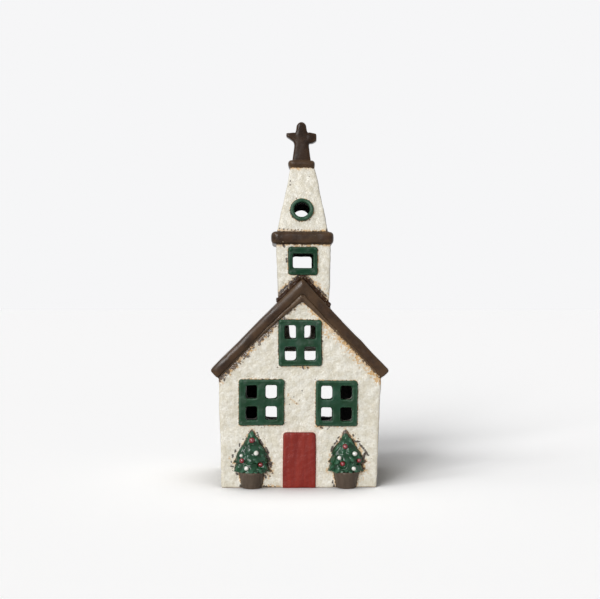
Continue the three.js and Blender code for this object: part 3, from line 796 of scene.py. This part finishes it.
def shown_at(column, row, y):
    """The x and z, in millimetres, of the place at depth y that a pixel of the photograph shows."""
    grown = PIXEL * (AWAY + y - FRONT_Y) / AWAY
    x = (EYE_COLUMN - PHOTO_WIDTH / 2 + 0.5) * PIXEL + (column - EYE_COLUMN) * grown
    z = (BASE_ROW - EYE_ROW) * PIXEL - (row - EYE_ROW) * grown
    return np.array((x, z)) / MM


# Drops and runs of dark glaze on each shell, at pixels of the photograph. A drop is its column, row and
# radius in millimetres, and a run has the column and row of its other end before the radius.
DARK_RUNS = {
    "house_walls": [
        (270, 316, 273, 320, 1.4), (262, 331, 0.5), (252, 342, 252, 343, 0.6), (242.9, 439, 0.4),
        (239.6, 444, 240, 446, 0.5), (235.6, 450, 235.4, 451.5, 0.5), (233, 455, 232.8, 457, 0.5),
        (231.7, 462, 0.55), (231, 466, 233.5, 466.5, 0.4), (237, 473.5, 238, 474.5, 0.55),
        (240.6, 485.6, 241.6, 487, 0.6), (257.3, 433, 258.8, 438, 0.35), (260, 440, 262.5, 444.5, 0.5),
        (265.8, 448, 268.6, 453, 0.55), (266, 454, 269.5, 459.5, 0.7), (268, 465, 272, 463, 0.6),
        (271.5, 463, 271, 467, 0.6), (268, 470, 271.5, 471, 0.55), (265.3, 475.5, 266, 477.5, 0.5),
        (264, 486.6, 266.5, 487, 0.8), (270, 487, 271, 487, 0.5), (275, 486.6, 275.5, 486.6, 0.4),
        (342.3, 432.5, 0.35), (345.6, 430, 345.7, 432, 0.3), (353, 435, 353.4, 435.4, 0.5),
        (339, 437, 338.6, 437.6, 0.45), (336.8, 441, 336.8, 442, 0.5), (335.2, 443.7, 0.6),
        (332.6, 447.5, 331.8, 451, 0.75), (355.5, 441.5, 360, 442, 0.5), (360, 445, 363, 448, 0.55),
        (363, 448, 368.5, 455.5, 0.45), (365, 454, 363.6, 458, 0.65), (334, 487, 334.2, 485.5, 0.6),
        (332.6, 481, 333, 483.5, 0.35), (356, 474, 357, 477, 0.4), (321, 427.4, 322.5, 427.8, 0.5),
        (329.6, 427, 0.5), (327.6, 429, 0.4), (248.9, 378.8, 0.4), (255.3, 379.2, 0.35),
        (243, 424.5, 242, 423.5, 0.6), (316.6, 423, 318.5, 426, 0.5), (302.3, 391, 0.3),
        (291.4, 399.6, 0.35), (240.6, 386.5, 240.8, 388, 0.3), (240.6, 397, 240.8, 399.6, 0.3),
        (361, 395, 0.35), (302.6, 367, 303.4, 369, 0.45), (307.4, 367.6, 308, 368.4, 0.35),
        (321.6, 355, 321.8, 360, 0.45), (322.6, 341, 322.6, 342, 0.4), (278.6, 349, 278.4, 352, 0.35),
        (294, 397, 0.35), (297, 403.6, 0.35), (289.6, 404.6, 0.3), (299.6, 400.8, 0.3),
    ],
    "tower_walls": [
        (283.6, 245, 284.4, 246.5, 0.6), (286.5, 255.3, 0.35), (286.5, 258.4, 287, 262, 0.35),
        (279.6, 293, 283, 290.4, 0.7), (284.6, 288.6, 287, 286.4, 0.6), (289.6, 284, 291.6, 282, 0.7),
        (294.6, 279.6, 298.6, 276, 0.7), (301.4, 273.6, 303, 272.8, 0.5), (308, 277, 313, 282, 0.5),
        (318, 287.4, 326, 295.6, 0.5),
    ],
    "spire_walls": [
        (280, 228.7, 0.35), (283.8, 229.5, 284.2, 229.5, 0.35), (287.7, 229.9, 0.35),
        (292, 230.2, 0.35), (295.4, 230.2, 295.8, 230.1, 0.35), (298.2, 229.7, 0.3),
        (301.7, 229.6, 0.3), (312.9, 231, 0.35), (320.7, 230.8, 0.35), (327, 231, 327.6, 229.8, 0.8),
        (308.6, 169.6, 0.45), (310.6, 171.6, 310.8, 171.8, 0.4), (313.7, 172.6, 0.35),
        (309, 174.8, 0.3), (289.7, 179.8, 0.35), (289.7, 183.6, 0.35),
    ],
}
# The same for ochre runs, where the brown glaze thinned out
OCHRE_RUNS = {
    "house_walls": [
        (344, 343, 344.5, 343.6, 1.2), (352, 352, 353, 353, 0.7), (330, 331, 332, 333, 0.8),
        (217.6, 378.6, 219, 379.6, 1.0), (380, 381.6, 383, 380, 1.0), (322, 427, 317, 426.5, 1.1),
        (269, 485.6, 279.4, 486.4, 0.8), (329.8, 454, 329.4, 456, 0.5), (327.3, 468, 327, 473, 0.6),
        (366.2, 459, 367.2, 464, 0.6), (361.6, 473, 363.4, 479, 0.7), (360.7, 480.5, 361, 481, 0.5),
        (288.5, 394.6, 288.8, 395.6, 0.6), (290, 399, 298, 405, 0.45), (248, 378.4, 257, 378.6, 0.6),
        (229.6, 457, 230, 459, 0.5), (268, 474, 268.6, 478, 0.6), (360, 446, 362, 456, 0.9),
        (300.4, 367, 309, 368, 0.6), (323, 333, 330, 338, 0.6),
    ],
    "tower_walls": [
        (277, 244.6, 283, 245.4, 0.9), (294, 246, 309, 246.4, 0.4), (328, 300, 329, 303, 0.8),
        (280, 290.6, 299, 274.6, 0.9), (279.6, 296, 280, 300, 0.8), (306, 275, 327, 296, 0.4),
    ],
    "spire_walls": [
        (292, 167.6, 311, 168, 0.6), (279, 230.4, 326, 230.8, 0.4),
    ],
}
# Runs lie on the front of a shell, no deeper than this
FRONT_LAYER = 6 * MM

# Between which depths under its outer face a wall is painted near-black as shade: where it faces
# inwards, in the reveals of the panes, and everywhere
REVEAL_SHADE_DEPTHS = (0.2 * MM, 0.7 * MM)
INSIDE_SHADE_DEPTHS = (0.9 * MM, 2.0 * MM)

# How far in from the outside of a ring and of a frame its pane begins, and how far it runs on in depth
RING_INSET, FRAME_INSET, PANE_DEPTH = 2.0 * MM, 1.2 * MM, 3 * MM

# How far below the cornice the second measure of the tower's sides is taken
TOWER_MEASURE = 30 * MM


def rectangle_at(nodes, z, slack):
    """The outer rectangle of some frame solids round a height: x0, x1, y0, y1."""
    corners = [v.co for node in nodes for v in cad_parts[node].data.vertices]
    level = [c for c in corners if abs(c.z - z) < slack]
    xs, ys = [c.x for c in level], [c.y for c in level]
    return np.array([min(xs), max(xs), min(ys), max(ys)])


def depth_in(points, normals, nodes, low_z, high_z, slack=1 * MM):
    """How deep each point lies under the nearest outer face of a four-walled shell, and how much
    its own face is turned that way."""
    low, high = rectangle_at(nodes, low_z, slack), rectangle_at(nodes, high_z, slack)
    share = ((points[:, 2] - low_z) / (high_z - low_z))[:, None]
    x0, x1, y0, y1 = (low + (high - low) * share).T
    x, y = points[:, 0], points[:, 1]
    depths = np.array([x - x0, x1 - x, y - y0, y1 - y])
    turned = np.array([-normals[:, 0], normals[:, 0], -normals[:, 1], normals[:, 1]])
    nearest = depths.argmin(axis=0)
    return depths.min(axis=0), turned[nearest, np.arange(len(points))]


def shaded_pane_edges(points):
    """1 on the wall's edge inside a window frame or ring, which is painted near-black as shade."""
    found = np.zeros(len(points))
    for node in (*HOUSE_FRAMES, *TOWER_FRAMES, *RINGS):
        low, high = (np.array(corner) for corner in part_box(node))
        inset = RING_INSET if node in RINGS else FRAME_INSET
        margin = np.array((inset, -PANE_DEPTH, inset))
        within = (points > low + margin) & (points < high - margin)
        found[within.all(axis=1)] = 1
    return found


def run_distance(points, runs):
    """How far each point at the front stands outside the nearest run of glaze, in millimetres."""
    depth = points[:, 1].min()
    best = np.full(len(points), REACH / MM)
    for *ends, radius in runs:
        start, end = shown_at(*ends[:2], depth), shown_at(*ends[-2:], depth)
        along = end - start
        away = points[:, [0, 2]] / MM - start
        share = np.clip(away @ along / max(along @ along, 1e-6), 0, 1)
        best = np.minimum(best, np.linalg.norm(away - share[:, None] * along, axis=1) - radius)
    return np.where(points[:, 1] < depth + FRONT_LAYER, best, REACH / MM)


def shelter(points):
    """A factor on the distance to the trees, from 0.7 on their right, where the brown bled further than
    elsewhere, to 1.5 on their left."""
    factor = np.full(len(points), 1.0)
    for node in TREES:
        low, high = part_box(node)
        middle, half = (low.x + high.x) / 2, (high.x - low.x) / 2
        side = (points[:, 0] - middle) / half
        factor = np.where(abs(side) < 1.8, 1.1 - 0.4 * np.clip(side * 1.5, -1, 1), factor)
    return factor


def add_shell(name, nodes, voxel, rubs, low_z, high_z, finish):
    """Four walls in cream glaze, painted near-black inside as shade, with the stains of what they carry."""
    piece = clay(name, nodes, voxel, rubs, lumps=((13, 0.4), (4.5, 0.26), (2.2, 0.12)))
    points, normals = points_of(piece.data), normals_of(piece.data)
    depth, outward = depth_in(points, normals, nodes, low_z, high_z)
    # Painted shade, kept as the inside attribute: inward faces below the glaze, pane reveals and the wall's
    # edges behind the panes.
    shaded_reveal = ease(depth, *REVEAL_SHADE_DEPTHS) * ease(-outward, -0.6, -0.2)
    note(piece, "inside", np.maximum.reduce([ease(depth, *INSIDE_SHADE_DEPTHS), shaded_reveal, shaded_pane_edges(points)]))
    note(piece, "foot", ease(-normals[:, 2], 0.5, 0.8) * (points[:, 2] < 1 * MM))
    for label, others in BESIDE.items():
        distance = near(points, surface_of(others)) / MM
        if label == "near_leaf":
            distance *= shelter(points)
        note(piece, label, distance)
    note(piece, "dark_run", run_distance(points, DARK_RUNS[name]))
    note(piece, "ochre_run", run_distance(points, OCHRE_RUNS[name]))
    return settle(piece, finish)


def add_walls(cream):
    eave_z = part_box("left_wall")[1].z
    cornice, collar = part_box("cornice"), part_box("spire_collar")
    add_shell("house_walls", HOUSE, 0.65, 8, 0, eave_z, cream)
    add_shell("tower_walls", TOWER, 0.5, 14, cornice[0].z - TOWER_MEASURE, cornice[0].z, cream)
    add_shell("spire_walls", SPIRE, 0.5, 14, cornice[1].z, collar[0].z, cream)


# Brown pieces

def roof_underside(node):
    """The two ends of a roof slab's underside: at the ridge and at the eaves."""
    corners = [v.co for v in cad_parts[node].data.vertices]
    lowest = min(corners, key=lambda c: c.z)
    ridge_z = min(c.z for c in corners if abs(c.x - RIDGE_X) < 0.1 * MM)
    return Vector((RIDGE_X, 0, ridge_z)), Vector((lowest.x, 0, lowest.z))


def fillet(node, face_y, out):
    """A coil of clay pressed into the corner between a gable wall and the roof over it.

    It is a thread at the eaves and swells and sags towards the ridge. Its sizes are in millimetres.
    """
    top, foot = roof_underside(node)
    steps, covered = 24, 0.95
    thread, swelling = 0.8, 1.7
    drop, sag = 0.1, 1.9
    path, radii = [], []
    for k in range(steps + 1):
        share = k / steps
        point = top.lerp(foot, covered * share)
        heavy = (1 - share) ** 3
        path.append((point.x, face_y + out * 0.4 * MM, point.z - (drop + sag * heavy) * MM))
        radii.append((thread + swelling * heavy) * MM)
    return tube(path, radii)


def add_roof(brown, pale_brown):
    piece = clay("roof", ROOF, 0.65, 28, lumps=((16, 0.4), (5, 0.16), (2.4, 0.06)))
    settle(piece, brown)
    peak = roof_underside(ROOF[0])[0]
    for name, face_y, out in (("front_fillet", FRONT_Y, -1), ("back_fillet", BACK_Y, 1)):
        coils = [fillet(node, face_y, out) for node in ROOF]
        corner = Vector((peak.x, face_y + out * 0.3 * MM, peak.z - 0.6 * MM))
        thumbed = dab(corner, [3 * MM, 1.6 * MM, 2.6 * MM])
        piece = clay(name, [], 0.4, 4, lumps=((3, 0.2), (1.2, 0.1)), extras=[*coils, thumbed])
        settle(piece, pale_brown)


def add_saddle(brown):
    glazed("tower_saddle_coil", brown, 0.4, 5, ((2.4, 0.7), (1.1, 0.3)))


def add_cornice_and_collar(brown):
    """The cornice, and the collar with the drop that hangs from its right front corner."""
    low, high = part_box("spire_collar")
    corner = Vector((high.x - 1.5 * MM, low.y + 1.2 * MM, low.z + 0.6 * MM))
    drop = dab(corner, [1.3 * MM, 1.1 * MM, 1.4 * MM])
    for node, extras in (("cornice", []), ("spire_collar", [drop])):
        glazed(node, brown, 0.5, 8, ((9, 0.4), (3, 0.08)), extras)


def add_cross(brown):
    """The cross, with its head rubbed round and its left arm drawn out to a point."""
    piece = clay("cross_glazed", ["cross"], 0.4, 14, lumps=((7, 0.3), (3, 0.06)))
    low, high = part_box("cross")
    points = points_of(piece.data)
    x, z = points[:, 0], points[:, 2]
    middle, half = (low.x + high.x) / 2, (high.x - low.x) / 2
    z = low.z + (z - low.z) * (high.z - low.z) / (z.max() - low.z)

    # The left arm tapers to its top edge, the right one sags a little, and both sit 0.7 mm higher than
    # the solid's. They begin this high.
    arms_z = low.z + 8 * MM
    wide = abs(x - middle) > 0.5 * half
    arm_top = z[wide & (z > arms_z)].max()
    side = (x - middle) / half
    arm = ease(abs(side), 0.35, 0.55) * ease(z, arms_z, low.z + 10 * MM)
    left = np.clip((-side - 0.42) / 0.58, 0, 1) * arm
    z = z + 0.5 * left * (arm_top - z)
    right = np.exp(-((side - 0.72) / 0.2) ** 2) * arm
    z = z - 0.12 * right * (arm_top - z)
    z = z + 0.7 * MM * arm

    # The head narrows as a round arch does over its last 2.4 mm
    dome = np.clip((z - (high.z - 2.4 * MM)) / (2.5 * MM), 0, 0.97)
    points[:, 0] = middle + (x - middle) * np.sqrt(1 - dome * dome)
    points[:, 2] = z
    set_points(piece.data, points)
    settle(piece, brown)


# Green frames and rings

# The corners of each frame where two strips overlap in a pat of clay: right or left, top or bottom, and
# the radius of the pat in millimetres
CORNER_PATS = {
    "left_window_frame": [(1, 1, 2.6), (-1, 1, 1.8), (-1, -1, 1.9), (1, -1, 1.9)],
    "right_window_frame": [(1, 1, 2.4), (-1, 1, 1.7), (-1, -1, 1.8), (1, -1, 1.6)],
    "gable_window_frame": [(1, 1, 2.1), (-1, 1, 1.6), (-1, -1, 1.7), (1, -1, 2.0)],
    "tower_front_window_frame": [(-1, 1, 1.8), (1, 1, 1.6), (-1, -1, 1.7), (1, -1, 2.0)],
}
# How far in from its corner a pat is centred, as a share of its radius, and half its thickness
PAT_INSET, PAT_HALF = 0.75, 1.3 * MM


def corner_pats(node):
    low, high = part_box(node)
    made = []
    for side_x, side_z, radius in CORNER_PATS.get(node, []):
        x = (high.x if side_x > 0 else low.x) - side_x * radius * PAT_INSET * MM
        z = (high.z if side_z > 0 else low.z) - side_z * radius * PAT_INSET * MM
        made.append(dab(Vector((x, low.y + 0.9 * MM, z)), [radius * MM, PAT_HALF, radius * MM]))
    return made


def add_frames(green, deep_green):
    for nodes, wall, finish in (
        (HOUSE_FRAMES, HOUSE, green), (TOWER_FRAMES, TOWER, deep_green), (RINGS, SPIRE, green),
    ):
        for node in nodes:
            glazed(node, finish, 0.3, 5, ((5, 0.36), (1.8, 0.05)), corner_pats(node), wall)


# Door, potted trees and baubles

def add_door(red):
    glazed("door", red, 0.4, 4, ((6, 0.25), (2, 0.1)), seat=HOUSE)


# The outline of the trees from the hem to the tip: share of the height, share of the half-width
TREE_OUTLINE = ((0.0, 0.9), (0.1, 1.0), (0.27, 0.97), (0.5, 0.74), (0.74, 0.46), (0.9, 0.22), (1.0, 0.05))
# Its tiers of foliage: share of the height, and how wide and high their lobes are in millimetres
TREE_TIERS = (
    (0.12, 7.4, 6.4), (0.33, 7.6, 7.6), (0.54, 6.4, 7.2), (0.73, 4.8, 6.2), (0.9, 2.4, 4.6),
)
# Lobes are spread round the front of a tree as far as this to each side, in degrees
LOBE_TURN = 84
# How much fuller the middle of a tree is, and how far its tip was pressed down
PLUMP = 0.1
TIP_DROP = {"left_tree": 0.2 * MM, "right_tree": 0.8 * MM}


def lobes_of(node, seed):
    """Drooping lobes of clay in tiers that overlap downwards, as the foliage of a tree."""
    luck = random.Random(seed)
    low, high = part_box(node)
    middle, half = (low.x + high.x) / 2, (high.x - low.x) / 2
    flat = (FRONT_Y - low.y) / half
    heights, widths = zip(*TREE_OUTLINE)
    made = []
    for tier, (share, width, height) in enumerate(TREE_TIERS):
        z = low.z + share * (high.z - low.z)
        radius = max(0.2 * MM, half * float(np.interp(share, heights, widths)) - 0.38 * width * MM)
        count = max(2, round(math.pi * radius / (0.66 * width * MM)))
        shift = 0.5 * (tier % 2)
        for k in range(count):
            turn = math.radians(-LOBE_TURN + 2 * LOBE_TURN * (k + shift) / max(1, count - 1 + shift))
            turn += luck.uniform(-0.1, 0.1)
            away = Vector((math.sin(turn), -math.cos(turn) * flat, 0))
            centre = Vector((middle, FRONT_Y, z + luck.uniform(-0.7, 0.7) * MM)) + away * radius
            outward = (away.normalized() + Vector((0, 0, 0.5))).normalized()
            lean = outward.to_track_quat("Y", "Z")
            scale = luck.uniform(0.9, 1.1) * MM / 2
            made.append(dab(centre, [width * scale, 0.5 * width * scale, height * scale], lean))
    return made


def fill_out(points, node, lowered):
    """Fits the upper foliage to end this far below the frame solid's tip, and plumps the middle."""
    low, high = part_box(node)
    middle, height = (low.x + high.x) / 2, high.z - low.z
    shoulder = low.z + 0.45 * height
    above = np.maximum(points[:, 2] - shoulder, 0)
    points[:, 2] += above * ((high.z - lowered - shoulder) / above.max() - 1)
    share = (points[:, 2] - low.z) / height
    fuller = 1 + PLUMP * np.exp(-((share - 0.48) / 0.2) ** 2)
    points[:, 0] = middle + (points[:, 0] - middle) * fuller


def seat_baubles(points):
    """Presses the foliage back round each bauble, so that the bauble stands out by half."""
    for node in BAUBLES:
        low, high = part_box(node)
        centre, radius = (low + high) / 2, (high.x - low.x) / 2
        away = np.hypot(points[:, 0] - centre.x, points[:, 2] - centre.z)
        share = 1 - ease(away, radius, 1.7 * radius)
        points[:, 1] += share * np.maximum(centre.y - points[:, 1], 0)


def add_trees(leaf, pot):
    for k, (tree_node, pot_node) in enumerate(zip(TREES, POTS)):
        lobes = lobes_of(tree_node, 11 + k)
        lumps = ((5, 0.4), (2.4, 0.08))
        piece = clay(tree_node + "_glazed", [tree_node], 0.3, 12, lumps=lumps, extras=lobes)
        points = points_of(piece.data)
        fill_out(points, tree_node, TIP_DROP[tree_node])
        seat_baubles(points)
        set_points(piece.data, points)
        note_seat(piece, HOUSE)
        settle(piece, leaf)
        glazed(pot_node, pot, 0.4, 4, ((4, 0.2), (1.5, 0.06)), seat=HOUSE)


def add_baubles(finishes):
    """Drops of glaze on the trees, a little uneven, which stand 0.4 mm above their solids' places."""
    for k, node in enumerate(BAUBLES):
        colour = "red" if "red" in node else "white"
        low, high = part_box(node)
        radius = max(high.x - low.x, high.z - low.z) / 2
        centre = (low + high) / 2 + Vector((0, 0, 0.4 * MM))
        centre.y = low.y + radius
        piece = placed_shape(node + "_drop", dab(centre, [radius, radius, radius]))
        points = points_of(piece.data)
        uneven = 1 + 0.12 * noise_at(points, radius * 1.3, k)
        set_points(piece.data, np.array(centre) + (points - np.array(centre)) * uneven[:, None])
        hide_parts(node)
        settle(piece, finishes[colour])


# Tealight

def add_cup(foil):
    """The pressed cup, with a recess in its foot, a rounded edge and a beaded rim."""
    low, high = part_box("tealight_cup")
    foot_z, top_z = low.z, high.z
    sheet, bead = 0.35 * MM, 0.5 * MM
    side = (high.x - low.x) / 2 - bead
    beaded = [
        (side - sheet / 2 + bead * math.cos(a), top_z - bead + bead * math.sin(a))
        for a in [math.radians(-60 + 24 * k) for k in range(11)]
    ]
    recess, recess_radius, foot_radius = 0.3 * MM, side - 5 * MM, side - 4.4 * MM
    profile = [(0, foot_z + recess), (recess_radius, foot_z + recess), (foot_radius, foot_z)]
    profile += [(side - 1.0 * MM, foot_z), (side - 0.3 * MM, foot_z + 0.25 * MM), (side, foot_z + 1.0 * MM)]
    profile += [(side, top_z - 2 * bead), *beaded, (side - sheet, top_z - 2 * bead)]
    profile += [(side - sheet, foot_z + 0.5 * MM), (0, foot_z + 0.5 * MM)]
    cup = lathe("foil_cup", profile, 96)
    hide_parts("tealight_cup")
    settle(cup, foil, "tealight")


def add_wax(wax):
    """The wax, dipped between the cup and the wick, to which it climbs."""
    low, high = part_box("tealight_wax")
    radius, bore, dip = (high.x - low.x) / 2, 0.85 * MM, 0.5 * MM
    steps = 12
    crown = []
    for k in range(steps + 1):
        share = k / steps
        climb = math.exp(-(1 - share) * 9) + math.exp(-share * 12)
        crown.append((radius + (bore - radius) * share, high.z - dip + dip * min(1, climb)))
    block = lathe("paraffin", [(0, low.z), (radius, low.z), *crown, (0, crown[-1][1])], 96)
    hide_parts("tealight_wax")
    settle(block, wax, "tealight")


def add_wick(cotton):
    """The wick of three braided plies, which leans a little at its top."""
    low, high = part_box("wick")
    radius = (high.x - low.x) / 2
    turns, steps, sides = 5, 60, 18
    made = bmesh.new()
    rings = []
    for k in range(steps + 1):
        share = k / steps
        z = low.z + share * (high.z - low.z)
        close = 0.55 if k in (0, steps) else 1.0
        lean = 0.35 * MM * max(0, share - 0.6)
        ring = []
        for s in range(sides):
            a = 2 * math.pi * s / sides
            ply = 0.86 + 0.14 * abs(math.cos(1.5 * (a - 2 * math.pi * turns * share)))
            r = radius * ply * close
            ring.append(made.verts.new((r * math.cos(a) + lean, r * math.sin(a), z)))
        rings.append(ring)
    wrap(made, rings)
    braid = placed_shape("braided_wick", made)
    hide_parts("wick")
    settle(braid, cotton, "tealight")


def add_tealight(foil, wax, cotton, tin):
    """The tealight. Its wick sustainer is the frame's solid, with a finish of its own."""
    add_cup(foil)
    add_wax(wax)
    add_wick(cotton)
    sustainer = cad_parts["wick_sustainer"]
    sustainer.data.materials.clear()
    sustainer.data.materials.append(tin)


# Floor, light and camera

# The studio: paper that the camera sees lighter than it lights the church, and lamps on the left.
# Each lamp has its turn to the left of the front, its height, its strength and its breadth, the three
# angles in degrees.
BACKDROP = srgb(246, 246, 247)
PAPER = (0.7, 0.7, 0.7, 1)
SHOWN_PAPER = (1.86, 1.86, 1.87, 1)
FILL_COLOUR, FILL = (1.0, 0.99, 0.975, 1), 0.13
LAMPS = (
    ("window", 70, 38, 0.24, 40),
    ("glint", 54, 44, 0.34, 16),
    ("softbox", 30, 26, 1.08, 22),
    ("low_panel", 16, 15, 1.18, 20),
)


def shown_or_lighting(tree, lighting, shown, end):
    """Ends a tree with one shader where the backdrop is seen, straight or in gloss and glass, and with
    another for the light that it gives."""
    path = tree.nodes.new("ShaderNodeLightPath")
    seen = largest(tree, *[path.outputs[f"Is {kind} Ray"] for kind in ("Camera", "Glossy", "Transmission")])
    choose = tree.nodes.new("ShaderNodeMixShader")
    feed(tree, choose.inputs[0], seen)
    feed(tree, choose.inputs[1], lighting.outputs[0])
    feed(tree, choose.inputs[2], shown.outputs[0])
    feed(tree, tree.nodes[end].inputs["Surface"], choose.outputs[0])


def add_floor():
    """The paper, 20 m to each side, which darkens where the church hides the light from it. The colour
    that the camera sees also carries a painted contact shadow near the church.
    """
    mesh = bpy.data.meshes.new("studio_floor")
    half = 20.0
    corners = [(-half, -half, 0), (half, -half, 0), (half, half, 0), (-half, half, 0)]
    mesh.from_pydata(corners, [], [(0, 1, 2, 3)])
    floor = placed("studio_floor", mesh)
    paper = bpy.data.materials.new("white_paper")
    paper.use_nodes = True
    tree = paper.node_tree
    tree.nodes.remove(tree.nodes["Principled BSDF"])
    around = tree.nodes.new("ShaderNodeBsdfDiffuse")
    around.inputs["Color"].default_value = PAPER
    # Painted contact shadow: the paper colour seen by the camera darkens where the church hides the sky
    # within 60 mm.
    contact_occlusion = tree.nodes.new("ShaderNodeAmbientOcclusion")
    contact_occlusion.inputs["Distance"].default_value = 60 * MM
    painted_shadow_factor = ramp(tree, contact_occlusion.outputs["AO"], 0.3, 1.0, 0.35, 1.0)
    shown = tree.nodes.new("ShaderNodeBsdfDiffuse")
    feed(tree, shown.inputs["Color"], mixed(tree, painted_shadow_factor, (0, 0, 0, 1), SHOWN_PAPER))
    shown_or_lighting(tree, around, shown, "Material Output")
    mesh.materials.append(paper)


def add_light():
    world = bpy.data.worlds.new("studio")
    bpy.context.scene.world = world
    world.use_nodes = True
    tree = world.node_tree
    backdrop = tree.nodes["Background"]
    backdrop.inputs["Color"].default_value = BACKDROP
    fill = tree.nodes.new("ShaderNodeBackground")
    fill.inputs["Color"].default_value = FILL_COLOUR
    fill.inputs["Strength"].default_value = FILL
    shown_or_lighting(tree, fill, backdrop, "World Output")

    for name, turn, rise, strength, breadth in LAMPS:
        lamp = bpy.data.lights.new(name, "SUN")
        lamp.energy = strength
        lamp.angle = math.radians(breadth)
        lamp_object = placed(name, lamp)
        a, e = math.radians(turn), math.radians(rise)
        towards = Vector((-math.sin(a) * math.cos(e), -math.cos(a) * math.cos(e), math.sin(e)))
        lamp_object.rotation_euler = towards.to_track_quat("Z", "Y").to_euler()


def add_camera():
    lens = bpy.data.cameras.new("photo_lens")
    lens.lens, lens.sensor_width = LENS, SENSOR
    camera = placed("photo_camera", lens)
    middle = Vector((PIXEL / 2, FRONT_Y, (BASE_ROW - PHOTO_HEIGHT / 2) * PIXEL))
    eye_x = (EYE_COLUMN - PHOTO_WIDTH / 2) * PIXEL
    eye_z = (BASE_ROW - EYE_ROW) * PIXEL
    camera.location = Vector((eye_x, FRONT_Y - AWAY, eye_z))
    camera.rotation_euler = (middle - camera.location).to_track_quat("-Z", "Y").to_euler()
    bpy.context.scene.camera = camera


# The brown glazes: their deep, bright and thinned colours, share of cream spots and shine
BROWNS = {
    "brown_glaze": ((40, 25, 12), (62, 42, 25), (116, 90, 64), 0.02, 0.2),
    "deep_brown_glaze": ((30, 17, 8), (48, 31, 18), (84, 60, 40), 0.02, 0.14),
    "speckled_brown_glaze": ((18, 9, 5), (38, 22, 12), (70, 44, 26), 0.3, 0.1),
    "pale_brown_glaze": ((60, 43, 29), (84, 66, 49), (120, 98, 76), 0.05, 0.2),
}

bpy.context.scene.view_settings.view_transform = "Standard"
cream = cream_glaze()
brown, deep_brown, speckled_brown, pale_brown = (brown_glaze(name, *mix) for name, mix in BROWNS.items())
green = green_glaze("green_glaze", (0, 50, 22), (16, 62, 40), 0.24)
deep_green = green_glaze("deep_green_glaze", (0, 40, 18), (2, 50, 28), 0.13)
add_walls(cream)
add_roof(brown, pale_brown)
add_saddle(speckled_brown)
add_cornice_and_collar(brown)
add_cross(deep_brown)
add_frames(green, deep_green)
add_door(red_glaze())
add_trees(leaf_glaze(), pot_glaze())
add_baubles({
    "red": bauble_glaze("red_bauble_glaze", (112, 4, 22), (152, 18, 34)),
    "white": bauble_glaze("white_bauble_glaze", (228, 226, 216), (244, 243, 238)),
})
add_tealight(foil_finish(), wax_finish(), cotton_finish(), tin_finish())
add_floor()
add_light()
add_camera()
